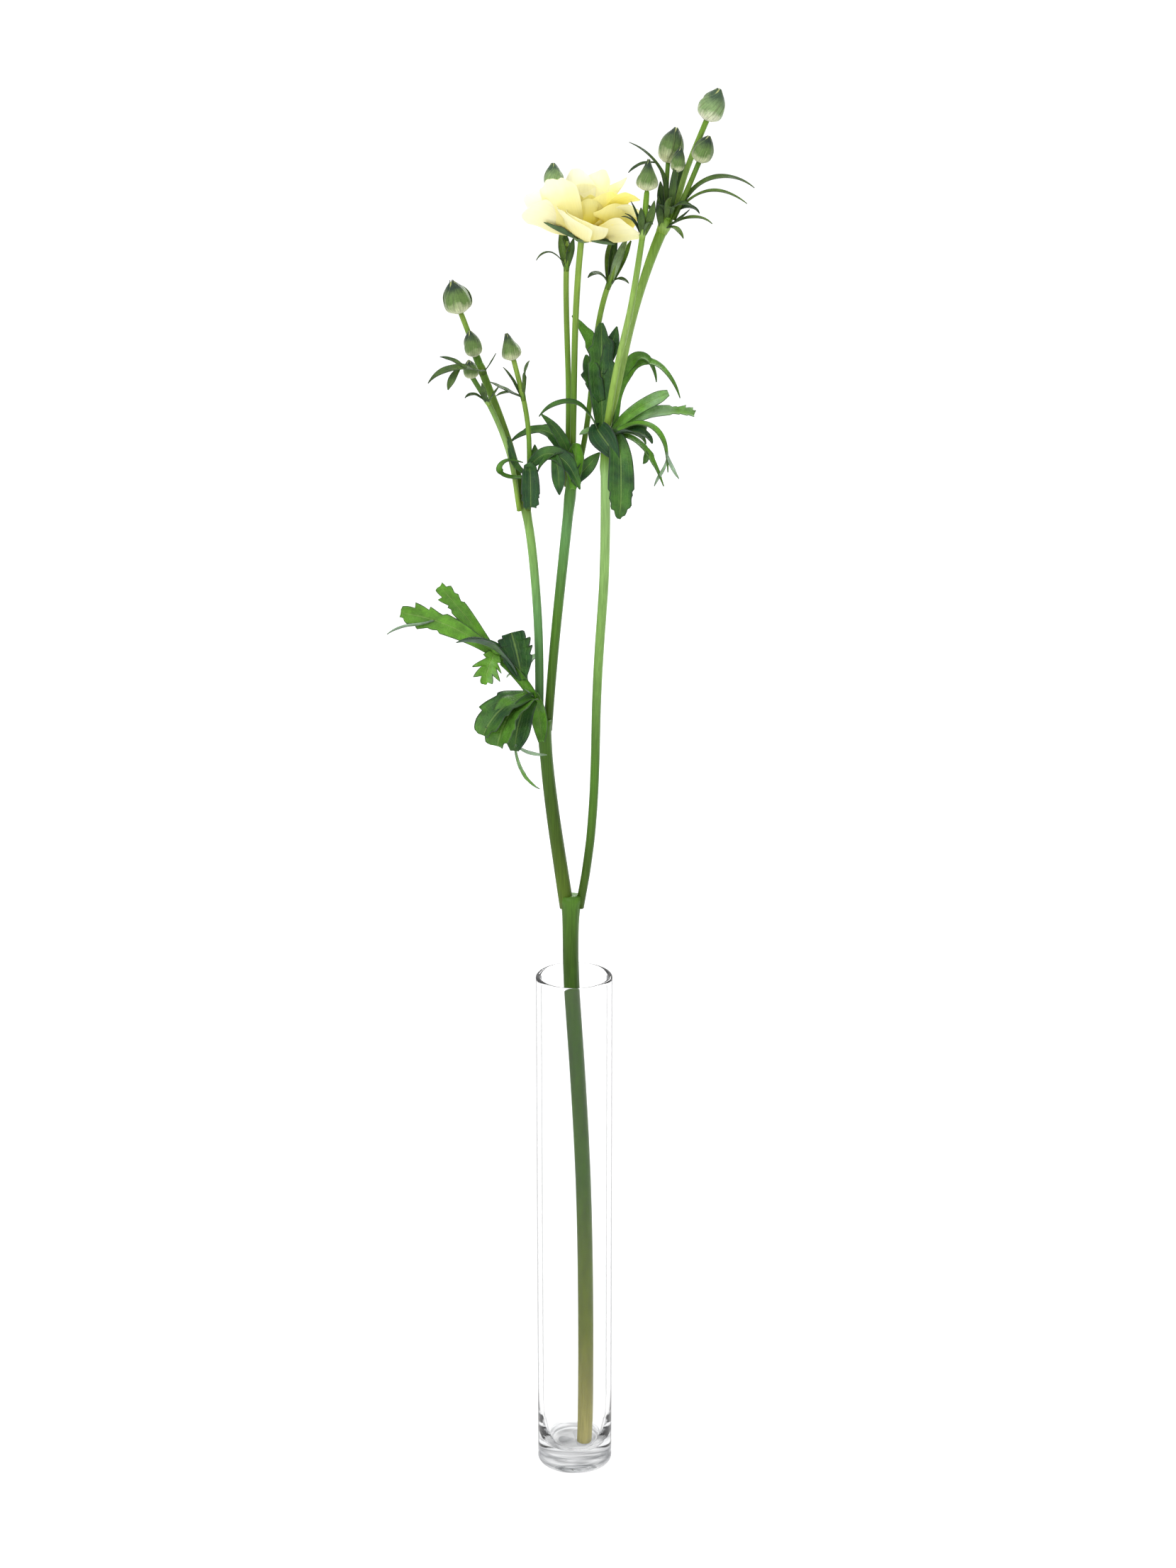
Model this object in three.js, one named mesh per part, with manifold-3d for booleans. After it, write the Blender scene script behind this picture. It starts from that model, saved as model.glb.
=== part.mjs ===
// Spray ranunculus standing in a slim glass cylinder vase.
// Millimetres, +Z up. The origin is the middle of the vase's underside.
// A heading is a compass direction seen from above, in degrees: 0 is right (+X), 90 back (+Y),
// 180 left and 270 front. A rise is degrees above level, and a lean is degrees from upright.
import * as THREE from 'three';
import { mergeVertices } from 'three/addons/utils/BufferGeometryUtils.js';
import Module from 'manifold-3d';

const wasm = await Module();
wasm.setup();

// ---- driving dimensions ------------------------------------------------------------------

const GAP = 0.35;              // space left between two pieces that touch on the real plant

const VASE_HEIGHT = 210;
const VASE_RADIUS = 15;
const VASE_WALL = 2;
const VASE_FLOOR = 7;          // glass under the lowest point inside
const VASE_FOOT_RADIUS = 13.8; // flat ring of glass that meets the table
const VASE_HEEL_TOP = 1.6;     // height at which the rounded heel reaches the wall
const VASE_SIDES = 32;

const STEM_SIDES = 8;
const STEM_LINE_STEPS = 12;    // straight steps in the line that a stem climbs
const BUD_SIDES = 10;
const BUD_SEAT_GAP = 0.5;      // a bud's rounded foot clears the end of its stalk
const FLOWER_SIDES = 12;       // of its receptacle and its centre
const BLADE_THICKNESS = 0.5;
const BLADE_LINE_STEPS = 8;    // straight steps in the line that a blade grows along
const BLADE_ROW = 5;           // length of blade for each row of faces
const NARROW_BLADE_ROW = 7;    // the same, in a narrow blade
const NARROW_BLADE = 3.4;      // blades under this width are made flat across
const PETAL_THICKNESS = 0.4;
const PETAL_ROWS = 6;
const PETAL_COLUMNS = 5;

// The flower stands on its stalk, and its axis leans a little to the right.
const FLOWER_LEAN = 14;
const RECEPTACLE_RADIUS = 3.2;
const RECEPTACLE_HEIGHT = 5.6;

// ---- materials ---------------------------------------------------------------------------

function finish(color, roughness) {
  return new THREE.MeshStandardMaterial({ color, roughness, metalness: 0 });
}

const clearGlass = new THREE.MeshStandardMaterial({
  color: 0xf4f8f8, roughness: 0.03, metalness: 0, transparent: true, opacity: 0.3,
});
const stemGreen = finish(0x5d8a2c, 0.55);
const stalkGreen = finish(0x86b24a, 0.55);
const leafGreen = finish(0x3b6a30, 0.5);
const bractGreen = finish(0x4f7d45, 0.55);
const budGreen = finish(0x7f9d63, 0.7);
const petalCream = finish(0xf6efc4, 0.6);
const petalYellow = finish(0xefdf8a, 0.6);
const centreGreen = finish(0x9fae45, 0.7);

// ---- helpers -----------------------------------------------------------------------------

const plant = new THREE.Group();

function addPiece(name, geometry, material) {
  const mesh = new THREE.Mesh(geometry, material.clone());
  mesh.name = name;
  plant.add(mesh);
  return mesh;
}

// A geometry's closed mesh as a solid that can be joined and cut.
function solidOf(geometry) {
  const bare = geometry.clone();
  bare.deleteAttribute('normal');
  bare.deleteAttribute('uv');
  const merged = mergeVertices(bare, 1e-4);
  const vertProperties = new Float32Array(merged.attributes.position.array);
  const triVerts = new Uint32Array(merged.index.array);
  return new wasm.Manifold(new wasm.Mesh({ numProp: 3, vertProperties, triVerts }));
}

function geometryOf(solid) {
  const mesh = solid.getMesh();
  const geometry = new THREE.BufferGeometry();
  geometry.setAttribute('position', new THREE.BufferAttribute(mesh.vertProperties, 3));
  geometry.setIndex(new THREE.BufferAttribute(mesh.triVerts, 1));
  return geometry;
}

function closedGeometry(positions, triangles) {
  const geometry = new THREE.BufferGeometry();
  geometry.setAttribute('position', new THREE.Float32BufferAttribute(positions, 3));
  geometry.setIndex(triangles);
  return geometry;
}

// A round stem along a smooth curve. width(t) scales its radius from its foot, 0, to its top, 1.
function stemGeometry(points, radius, width, steps) {
  const path = new THREE.CatmullRomCurve3(points);
  const section = new THREE.Shape().absarc(0, 0, radius, 0, 2 * Math.PI);
  const geometry = new THREE.ExtrudeGeometry(section, {
    steps, curveSegments: STEM_SIDES / 2, extrudePath: path, bevelEnabled: false,
  });
  const stations = path.getSpacedPoints(steps);
  const position = geometry.attributes.position;
  const vertex = new THREE.Vector3();
  for (let i = 0; i < position.count; i++) {
    vertex.fromBufferAttribute(position, i);
    let nearest = 0;
    for (let k = 1; k <= steps; k++) {
      if (vertex.distanceTo(stations[k]) < vertex.distanceTo(stations[nearest])) nearest = k;
    }
    vertex.sub(stations[nearest]).multiplyScalar(width(nearest / steps)).add(stations[nearest]);
    position.setXYZ(i, vertex.x, vertex.y, vertex.z);
  }
  return geometry;
}

// ---- how the plant grows -----------------------------------------------------------------

// The value part of the way, 0 to 1, through a list of evenly spaced values.
function partWay(values, t) {
  if (values.length === 1) return values[0];
  const station = t * (values.length - 1);
  const low = Math.min(Math.floor(station), values.length - 2);
  return THREE.MathUtils.lerp(values[low], values[low + 1], station - low);
}

function direction(heading, rise) {
  const h = THREE.MathUtils.degToRad(heading);
  const r = THREE.MathUtils.degToRad(rise);
  return new THREE.Vector3(Math.cos(r) * Math.cos(h), Math.cos(r) * Math.sin(h), Math.sin(r));
}

function leaning(right, back) {
  const slope = (degrees) => Math.tan(THREE.MathUtils.degToRad(degrees));
  return new THREE.Vector3(slope(right), slope(back), 1).normalize();
}

// The line of a stem. right and back list its leans towards +X and +Y, evenly from foot to top.
function climb(foot, { length, right, back }) {
  const line = [foot.clone()];
  for (let step = 0; step < STEM_LINE_STEPS; step++) {
    const t = (step + 0.5) / STEM_LINE_STEPS;
    const way = leaning(partWay(right, t), partWay(back, t));
    line.push(line[step].clone().addScaledVector(way, length / STEM_LINE_STEPS));
  }
  return line;
}

// The line of a blade. heading and rise list which way it points, evenly from foot to tip.
function bladeLine(foot, { length, heading, rise }) {
  const line = [foot.clone()];
  for (let step = 0; step < BLADE_LINE_STEPS; step++) {
    const t = (step + 0.5) / BLADE_LINE_STEPS;
    const way = direction(partWay(heading, t), partWay(rise, t));
    line.push(line[step].clone().addScaledVector(way, length / BLADE_LINE_STEPS));
  }
  return line;
}

// Stems are kept by name: others grow from their tops, and leaves are cut clear of them.
const stems = {};

// The same line of points, a gap longer at both ends.
function withMargin(line) {
  const foot = line[0].clone().sub(line[1]).setLength(GAP).add(line[0]);
  const top = line.at(-1).clone().sub(line.at(-2)).setLength(GAP).add(line.at(-1));
  return [foot, ...line.slice(1, -1), top];
}

function addStem(name, foot, growth, { radius, width = () => 1, steps = 8, material = stemGreen }) {
  const line = climb(foot, growth);
  addPiece(name, stemGeometry(line, radius, width, steps), material);
  stems[name] = {
    path: new THREE.CatmullRomCurve3(line),
    radius: (part) => radius * width(part),
    cutter: solidOf(stemGeometry(withMargin(line), radius + GAP, width, steps)),
  };
}

// A place near a stem's top: so far to its right (+X), back (+Y) and up.
function nearTop(name, right, back, up) {
  return stems[name].path.getPoint(1).add(new THREE.Vector3(right, back, up));
}

// Half the width of a blade: it widens from its foot, and narrows again past its widest place.
function halfWidth(t, { width, widest = 0.55, foot = 0.4, tip = 0.15 }) {
  const quarter = Math.PI / 2;
  const grown = t < widest
    ? foot + (1 - foot) * Math.sin(quarter * t / widest)
    : tip + (1 - tip) * Math.cos(quarter * (t - widest) / (1 - widest));
  return grown * width / 2;
}

// Ways for a blade's upper side to face.
const TO_FRONT = new THREE.Vector3(0, -1, 0.15);
const TO_SKY = new THREE.Vector3(0, -0.35, 1);
const TO_LEFT_SKY = new THREE.Vector3(-0.7, -0.4, 1);
const TO_RIGHT_SKY = new THREE.Vector3(0.7, -0.4, 1);

// A thin closed blade along a path. Its edges rise towards its upper side by the cup.
function bladeGeometry(path, growth) {
  const { length, width, faces = TO_FRONT, cup = 0.25 } = growth;
  const narrow = width < NARROW_BLADE;
  const rows = Math.max(3, Math.round(length / (narrow ? NARROW_BLADE_ROW : BLADE_ROW)));
  const columns = narrow ? [-1, 1] : [-1, 0, 1];
  const positions = [];
  for (let row = 0; row <= rows; row++) {
    const t = row / rows;
    const centre = path.getPoint(t);
    const along = path.getTangent(t);
    const up = faces.clone().addScaledVector(along, -faces.dot(along)).normalize();
    const side = new THREE.Vector3().crossVectors(along, up);
    const half = halfWidth(t, growth);
    for (const skin of [-0.5, 0.5]) {
      for (const across of columns) {
        const vertex = centre.clone().addScaledVector(side, across * half);
        vertex.addScaledVector(up, cup * half * across * across + skin * BLADE_THICKNESS);
        positions.push(vertex.x, vertex.y, vertex.z);
      }
    }
  }
  return closedGeometry(positions, stripTriangles(rows, columns.length));
}

// A blade and all that branches off it: a branch starts part of the way along, at its `at`.
function grow(foot, growth) {
  const path = new THREE.CatmullRomCurve3(bladeLine(foot, growth));
  const branches = growth.branches ?? [];
  return [
    bladeGeometry(path, growth),
    ...branches.flatMap((branch) => grow(path.getPoint(branch.at), branch)),
  ];
}

// The closed skin of a grid with `columns` points across on each of its two faces.
function stripTriangles(rows, columns) {
  const triangles = [];
  const at = (row, skin, column) => (row * 2 + skin) * columns + column;
  const quad = (a, b, c, d) => triangles.push(a, b, c, a, c, d);
  for (let row = 0; row < rows; row++) {
    const next = row + 1;
    for (let column = 0; column < columns - 1; column++) {
      const beside = column + 1;
      quad(at(row, 1, column), at(row, 1, beside), at(next, 1, beside), at(next, 1, column));
      quad(at(row, 0, column), at(next, 0, column), at(next, 0, beside), at(row, 0, beside));
    }
    const last = columns - 1;
    quad(at(row, 0, 0), at(row, 1, 0), at(next, 1, 0), at(next, 0, 0));
    quad(at(row, 1, last), at(row, 0, last), at(next, 0, last), at(next, 1, last));
  }
  for (let column = 0; column < columns - 1; column++) {
    quad(at(0, 0, column), at(0, 0, column + 1), at(0, 1, column + 1), at(0, 1, column));
    quad(at(rows, 1, column), at(rows, 1, column + 1), at(rows, 0, column + 1), at(rows, 0, column));
  }
  return triangles;
}

// Turns a shape made round +Y so that its axis runs from its foot along a direction.
function aimed(geometry, foot, way) {
  const turn = new THREE.Quaternion();
  turn.setFromUnitVectors(new THREE.Vector3(0, 1, 0), way.clone().normalize());
  return geometry.applyQuaternion(turn).translate(foot.x, foot.y, foot.z);
}

// Crossing blades can close off a sliver of air between them: it is filled.
function withoutCavities(solid) {
  return wasm.Manifold.union(solid.decompose().filter((skin) => skin.volume() > 0));
}

// Joins the blades of one leaf, and cuts the leaf clear of the stems that it clasps.
function addJoined(name, blades, material) {
  let leaf = solidOf(blades[0]);
  for (const blade of blades.slice(1)) leaf = leaf.add(solidOf(blade));
  for (const stem of Object.values(stems)) leaf = leaf.subtract(stem.cutter);
  addPiece(name, geometryOf(withoutCavities(leaf)), material);
}

function addLeaf(name, foot, shoots) {
  addJoined(name, shoots.flatMap((shoot) => grow(foot, shoot)), leafGreen);
}

// Small leaves grow out of a short sleeve that clasps a stalk, part of the way along it.
function addBracts(name, stem, part, height, shoots, extras = []) {
  const { path, radius } = stems[stem];
  const inner = (radius(part) + GAP) / Math.cos(Math.PI / STEM_SIDES);
  const outer = inner + 2 * BLADE_THICKNESS;
  const sleeve = new THREE.LatheGeometry([
    new THREE.Vector2(inner, 0),
    new THREE.Vector2(outer, 0),
    new THREE.Vector2(outer, height),
    new THREE.Vector2(inner, height),
    new THREE.Vector2(inner, 0),
  ], STEM_SIDES);
  const foot = path.getPointAt(part);
  const middle = foot.clone().addScaledVector(path.getTangentAt(part), height / 2);
  const blades = shoots.flatMap((shoot) => {
    const out = direction(shoot.from ?? shoot.heading[0], 0);
    return grow(middle.clone().addScaledVector(out, inner + BLADE_THICKNESS), shoot);
  });
  const extraSolids = extras.map((extra) => extra(middle));
  addJoined(name, [aimed(sleeve, foot, path.getTangentAt(part)), ...blades, ...extraSolids], bractGreen);
}

// A closed bud: a small pear with its point up.
// Its outline gives the radius, as a part of the widest, and the height, as a part of the length.
const BUD_OUTLINE = [
  [0, 0], [0.42, 0.02], [0.85, 0.13], [1, 0.33], [0.88, 0.54], [0.5, 0.78], [0.2, 0.94], [0, 1],
];

function addBud(name, foot, { length, radius, right, back }) {
  const profile = BUD_OUTLINE.map(([r, h]) => new THREE.Vector2(r * radius, h * length));
  const way = leaning(right, back);
  const seat = foot.clone().addScaledVector(way, BUD_SEAT_GAP);
  addPiece(name, aimed(new THREE.LatheGeometry(profile, BUD_SIDES), seat, way), budGreen);
}

// ---- vase --------------------------------------------------------------------------------

// Straight walls, a rounded lip, and a thick foot: inside, the wall thickens towards the floor.
function vaseGeometry() {
  const inside = VASE_RADIUS - VASE_WALL;
  const profile = [
    [0, 0],
    [VASE_FOOT_RADIUS, 0],
    [VASE_RADIUS - 0.3, VASE_HEEL_TOP / 3],
    [VASE_RADIUS, VASE_HEEL_TOP],
    [VASE_RADIUS, VASE_HEIGHT - 1],
    [VASE_RADIUS - VASE_WALL / 4, VASE_HEIGHT - 0.2],
    [VASE_RADIUS - VASE_WALL / 2, VASE_HEIGHT],
    [inside + VASE_WALL / 4, VASE_HEIGHT - 0.2],
    [inside, VASE_HEIGHT - 1],
    [inside, VASE_FLOOR + 25],
    [inside - 0.5, VASE_FLOOR + 14],
    [inside - 1.4, VASE_FLOOR + 6],
    [inside - 3, VASE_FLOOR + 1.6],
    [inside - 4.5, VASE_FLOOR],
    [0, VASE_FLOOR],
  ];
  const points = profile.map(([r, z]) => new THREE.Vector2(r, z));
  return new THREE.LatheGeometry(points, VASE_SIDES).rotateX(Math.PI / 2);
}

addPiece('vase', vaseGeometry(), clearGlass);

// ---- stems and stalks --------------------------------------------------------------------

const swelling = (part, start, amount) => amount * THREE.MathUtils.smoothstep(part, start, 1);

// The stem stands on the vase floor, leans on the back of the rim and swells below its fork.
// Its cut end is not quite level: one side of it stands a little higher than the other.
const CUT_END_HEIGHT = VASE_FLOOR + GAP + 0.3;

addStem('main_stem', new THREE.Vector3(4, -3, CUT_END_HEIGHT), {
  length: 230, right: [1, 0, -1, -3, -4, 2], back: [2, 3, 4, 4, 4, 3],
}, { radius: 2.85, steps: 18, width: (part) => 1 + swelling(part, 0.93, 0.42) });

addStem('left_branch_stem', nearTop('main_stem', -2.2, 0, 1), {
  length: 71, right: [-8, -8, -6, -3], back: [0, -1, -1, -1],
}, { radius: 2.3, steps: 9, width: (part) => 1.12 - 0.2 * part + swelling(part, 0.82, 0.42) });

addStem('right_branch_stem', nearTop('main_stem', 4, 0.5, 0.4), {
  length: 187, right: [11, 6, 2, 1, 3, 4, 1, 0, 0], back: [1, 0, -1, -4, -6, -5, -3, -2, 0],
}, { radius: 1.6, steps: 16, width: (part) => 0.95 + 0.12 * part });

addStem('left_stem', nearTop('left_branch_stem', -1.8, -0.9, 0.9), {
  length: 87, right: [1, 0, -3, -5, -11], back: [0, -1, -3, -4, -5],
}, { radius: 1.5, steps: 9 });

addStem('middle_stem', nearTop('left_branch_stem', 1.7, 1.4, 1), {
  length: 95, right: [4, 5, 6, 6, 6], back: [1, -1, -3, -4, -3],
}, { radius: 1.75, steps: 9, width: (part) => 0.9 + 0.14 * part });

const stalk = (radius, steps, width) => ({ radius, steps, width, material: stalkGreen });

addStem('stalk_left_tall', nearTop('left_stem', -0.8, 0.2, 0.9), {
  length: 56, right: [-8, -14, -19, -21, -20], back: [0, 0, -1, -2],
}, stalk(1.3, 8));

addStem('stalk_bud_7', nearTop('stalk_left_tall', -0.4, 1.6, 0.8), {
  length: 16, right: [-17, -20, -20], back: [14, 2, -8],
}, stalk(0.9, 5));

addStem('stalk_left_low', nearTop('left_stem', -2.5, -2.2, 1), {
  length: 50, right: [-4, -11, -19, -26, -36], back: [-7, -5, -3, -5, -5],
}, stalk(0.85, 9));

addStem('stalk_left_inner', nearTop('left_stem', 1.6, -1.6, 1), {
  length: 53, right: [2, 1, -1, -8, -14, -14], back: [-4, 0, 2, 0, 0],
}, stalk(0.85, 9));

addStem('stalk_behind', nearTop('middle_stem', -1.7, 1.6, 0.9), {
  length: 86, right: [2, 1, -2, -1, 3], back: [4, 2, -2, -3, -1],
}, stalk(0.95, 9));

addStem('stalk_bud_6', nearTop('stalk_behind', -0.5, 0.9, 0.7), {
  length: 24, right: [-40, -24, -4, 0], back: [66, 52, 20, 0],
}, stalk(0.85, 5));

addStem('stalk_flower', nearTop('middle_stem', 0.3, -1.3, 0.7), {
  length: 89, right: [1, 1, 1, 3, 6], back: [-2, -3, -3, -5, -6],
}, stalk(1.05, 9));

addStem('stalk_shaded', nearTop('middle_stem', 1.6, 1.2, 0.7), {
  length: 89, right: [16, 9, 5, 6, 19, 23], back: [14, 6, 1, 0, -6, -4],
}, stalk(0.95, 9));

addStem('stalk_right_front', nearTop('right_branch_stem', 0.4, -1.9, 1), {
  length: 89, right: [7, 10, 14, 9, 8, 3], back: [-10, -6, -5, -4, -3, 0],
}, stalk(1.15, 10, (part) => 1.05 - 0.25 * part));

addStem('stalk_right_tall', nearTop('right_branch_stem', 0.6, 1.5, 1), {
  length: 83, right: [15, 12, 12, 16, 20, 26], back: [-5, -4, -1, 0, 0, 0],
}, stalk(1.3, 10, (part) => 1 + swelling(part, 0.5, 0.5)));

// Four short stalks fan out of the crown of the tall right stalk, each with its bud.
addStem('stalk_bud_1', nearTop('stalk_right_tall', 1.9, 1.5, 1), {
  length: 33, right: [12, 18, 22, 22], back: [20, 6, -8, -14],
}, stalk(0.95, 6));

addStem('stalk_bud_2', nearTop('stalk_right_tall', -1.4, 1.5, 1.3), {
  length: 15, right: [-4, 6], back: [12, 8],
}, stalk(0.75, 6));

addStem('stalk_bud_3', nearTop('stalk_right_tall', -0.2, -1.5, 1.4), {
  length: 12.5, right: [8, 9], back: [-3, -2],
}, stalk(0.75, 6));

addStem('stalk_bud_4', nearTop('stalk_right_tall', 2.4, -1.5, 0.5), {
  length: 18, right: [26, 22], back: [3, 6],
}, stalk(0.85, 6));

// ---- buds --------------------------------------------------------------------------------

const endOf = (stem) => nearTop(stem, 0, 0, 0);

addBud('bud_1', endOf('stalk_bud_1'), { length: 12, radius: 4.9, right: 21, back: -9 });
addBud('bud_2', endOf('stalk_bud_2'), { length: 13, radius: 4.2, right: 13, back: 9 });
addBud('bud_3', endOf('stalk_bud_3'), { length: 9, radius: 2.6, right: 10, back: -6 });
addBud('bud_4', endOf('stalk_bud_4'), { length: 10, radius: 3.8, right: 21, back: 0 });
addBud('bud_5', endOf('stalk_right_front'), { length: 11, radius: 4, right: 3, back: -5 });
addBud('bud_6', endOf('stalk_bud_6'), { length: 9, radius: 3.8, right: -3, back: 6 });
addBud('bud_7', endOf('stalk_bud_7'), { length: 12, radius: 5.1, right: -16, back: 0 });
addBud('bud_8', nearTop('stalk_left_tall', -0.4, -2, 0.7), {
  length: 10, radius: 3.3, right: -12, back: -13,
});
addBud('bud_9', endOf('stalk_left_low'), { length: 7, radius: 2.8, right: -11, back: -11 });
addBud('bud_10', endOf('stalk_left_inner'), { length: 10, radius: 3.7, right: -15, back: 0 });

// ---- leaves ------------------------------------------------------------------------------

// The lowest leaf clasps the fork: it has a long lobed blade up to the left, a drooping one in
// front with two thin tails, and a small one that bends round behind the stems.
addLeaf('leaf_low', nearTop('left_branch_stem', -1.5, -3.7, -5), [{
  heading: [215], rise: [84, 72], length: 19, width: 5, foot: 0.9, tip: 0.7, cup: -0.25,
  branches: [
    {
      at: 0.9, heading: [190], rise: [62, 42], length: 20, width: 4.2, foot: 0.8, tip: 0.9,
      branches: [
        {
          at: 0.85, heading: [178], rise: [48, 30, 0], length: 46, width: 8.6, widest: 0.7, tip: 0.3,
          branches: [
            { at: 0.8, heading: [195], rise: [-5, -30], length: 13, width: 3.6, faces: TO_SKY },
            { at: 0.12, heading: [163], rise: [50, 46], length: 33, width: 7.4, widest: 0.7, tip: 0.3 },
            { at: 0.15, heading: [230], rise: [-45, -82], length: 12, width: 7, widest: 0.35 },
          ],
        },
        { at: 0.6, heading: [200], rise: [64, 34, -6], length: 30, width: 5, faces: TO_SKY },
        { at: 0.4, heading: [176], rise: [75, 65], length: 20, width: 8.6, widest: 0.75, tip: 0.7 },
      ],
    },
    {
      at: 0.9, heading: [215], rise: [15, -25, -65], length: 29, width: 8.6, widest: 0.7, tip: 0.5,
      faces: TO_SKY,
    },
    {
      at: 0.9, heading: [228], rise: [15, -40, -75], length: 28, width: 8.6, widest: 0.7, tip: 0.5,
      faces: new THREE.Vector3(-0.5, -0.8, 0.6),
    },
    {
      at: 0.9, heading: [238], rise: [0, -60, -82], length: 24, width: 5.6, widest: 0.7, tip: 0.4,
      branches: [
        { at: 0.9, heading: [320, 365], rise: [-82, -60, -30], length: 23, width: 1.7, foot: 0.9, tip: 0.5 },
        { at: 0.9, heading: [345, 365], rise: [-40, -15, 0], length: 14, width: 1.4, foot: 0.9, tip: 0.6 },
      ],
    },
    {
      at: 0.95, heading: [190, 100, 60, 30], rise: [50, 35, 20, 10], length: 26, width: 3.8, faces: TO_SKY,
      branches: [{ at: 0.4, heading: [130], rise: [10, -45], length: 10, width: 3, faces: TO_SKY }],
    },
  ],
}]);

// The left leaf's blade rises against its stem, folds over and hangs down in front of it.
addLeaf('leaf_left', nearTop('left_stem', 0.6, -3.2, -2), [{
  heading: [290], rise: [86, 80], length: 16, width: 4.6, foot: 0.7, tip: 0.9,
  branches: [
    { at: 0.95, heading: [275], rise: [60, -50, -85, -88], length: 19, width: 6, foot: 0.9, tip: 0.7 },
    {
      at: 0.8, heading: [195, 175], rise: [0, 25, 90, 160, 190], length: 22, width: 2, foot: 0.8,
      tip: 0.7,
    },
    { at: 0.9, heading: [40, 100], rise: [45, 75], length: 11, width: 3 },
    {
      at: 1, heading: [340], rise: [60, 30, -30, -60, -70], length: 29, width: 5,
      faces: new THREE.Vector3(0.4, -1, 0.6),
      branches: [{ at: 0.42, heading: [290], rise: [-30, -75, -88], length: 16, width: 4 }],
    },
  ],
}]);

addLeaf('leaf_middle', nearTop('middle_stem', 0.8, -2.5, -3), [{
  heading: [300], rise: [82, 80], length: 19, width: 5.2, foot: 0.8, tip: 0.9, cup: -0.25,
  branches: [
    {
      at: 0.25, heading: [190, 160, 168, 172], rise: [70, 62, -10, -45], length: 35, width: 5,
      faces: TO_LEFT_SKY,
    },
    { at: 0.25, heading: [215, 190], rise: [78, 62, 40], length: 27, width: 3.6 },
    { at: 0.1, heading: [330, 20], rise: [55, 45], length: 16, width: 5, tip: 0.6 },
  ],
}]);

// Four leaves grow at the right node: one upright, one spread to the right, one hanging and one
// curled over in front.
addLeaf('leaf_right_erect', nearTop('right_branch_stem', -1.2, 2.5, -2), [
  {
    heading: [95], rise: [76, 84, 89, 86], length: 41, width: 9.4, widest: 0.65, foot: 0.3, tip: 0.2,
    branches: [
      { at: 0.55, heading: [15], rise: [66, 76], length: 18, width: 5 },
      { at: 0.3, heading: [168], rise: [66, 76], length: 18, width: 6.4 },
    ],
  },
  { heading: [84, 90, 150, 175], rise: [45, 60, 70, 42], length: 49, width: 4.6, widest: 0.7 },
]);

addLeaf('leaf_right_spreading', nearTop('right_branch_stem', 2.4, -0.4, -2), [
  { heading: [5], rise: [62, 40, 26, 18], length: 28, width: 6, widest: 0.7, tip: 0.4 },
  {
    heading: [6, -2], rise: [38, 26, 6, -12], length: 33, width: 6, widest: 0.7, tip: 0.5,
    faces: TO_RIGHT_SKY,
  },
  {
    heading: [50, 35, 0, -8], rise: [62, 86, 45, -45, -70], length: 52, width: 4, widest: 0.7,
    faces: TO_RIGHT_SKY,
    branches: [
      {
        at: 0.4, heading: [20, 0], rise: [80, 50, -60, -80], length: 24, width: 4.2,
        faces: TO_RIGHT_SKY,
      },
      { at: 0.55, heading: [170], rise: [-40, -72], length: 12, width: 3.8 },
    ],
  },
]);

addLeaf('leaf_right_hanging', nearTop('right_branch_stem', 1.6, -2, -3), [{
  heading: [292, 290, 270, 185], rise: [45, -50, -86, -88, -80], length: 37, width: 9, widest: 0.7,
  tip: 0.3,
  branches: [
    { at: 0.1, heading: [330, 342], rise: [25, -15, -60], length: 17, width: 6, faces: TO_RIGHT_SKY },
    {
      at: 0.1, heading: [345], rise: [40, 15, -35, -80, -86], length: 33, width: 4.2,
      faces: TO_RIGHT_SKY,
    },
    { at: 0.1, heading: [338], rise: [20, -35, -60, -66], length: 29, width: 4.4, faces: TO_RIGHT_SKY },
  ],
}]);

addLeaf('leaf_right_front', nearTop('right_branch_stem', -1.8, -1.7, -2), [
  { heading: [240, 305, 348], rise: [45, 0, -42, -50], length: 22, width: 7.2 },
  { heading: [232, 198, 186], rise: [60, 46, -8, -52], length: 30, width: 3.4, faces: TO_SKY },
]);

// ---- small leaves under the buds ---------------------------------------------------------

addBracts('bracts_crown', 'stalk_right_tall', 0.93, 2.4, [
  { from: 235, heading: [215, 200], rise: [88, 82, 60, 28], length: 34, width: 2.4, faces: TO_SKY },
  {
    heading: [4], rise: [50, 45, 10, -45], length: 34, width: 3.2, faces: TO_SKY,
    branches: [{ at: 0.3, heading: [16], rise: [62, 52], length: 15, width: 2, faces: TO_SKY }],
  },
  { heading: [340], rise: [54, 42, 0, -40], length: 29, width: 2, faces: TO_SKY },
  { from: 250, heading: [300, 315], rise: [50, 20, -45], length: 15, width: 3.2, faces: TO_SKY },
  { from: 270, heading: [330], rise: [30, 0, -40], length: 19, width: 2, faces: TO_SKY },
  { heading: [238], rise: [62, 40, -10], length: 10, width: 2.6, faces: TO_SKY },
  { from: 285, heading: [290, 310], rise: [76, 80], length: 24, width: 3 },
  { from: 70, heading: [60, 30], rise: [58, 76], length: 23, width: 4.2 },
  { heading: [150], rise: [80, 86], length: 12, width: 3.2 },
]);

addBracts('bracts_front_stalk', 'stalk_right_front', 0.82, 2.4, [
  { heading: [255], rise: [78, 84], length: 11, width: 3 },
  { heading: [225], rise: [80, 58], length: 14, width: 1.6, faces: TO_SKY },
  { heading: [330], rise: [66, 72], length: 15, width: 3.4 },
  { heading: [205], rise: [62, 30, -10], length: 9, width: 1.2, faces: TO_SKY },
]);

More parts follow.
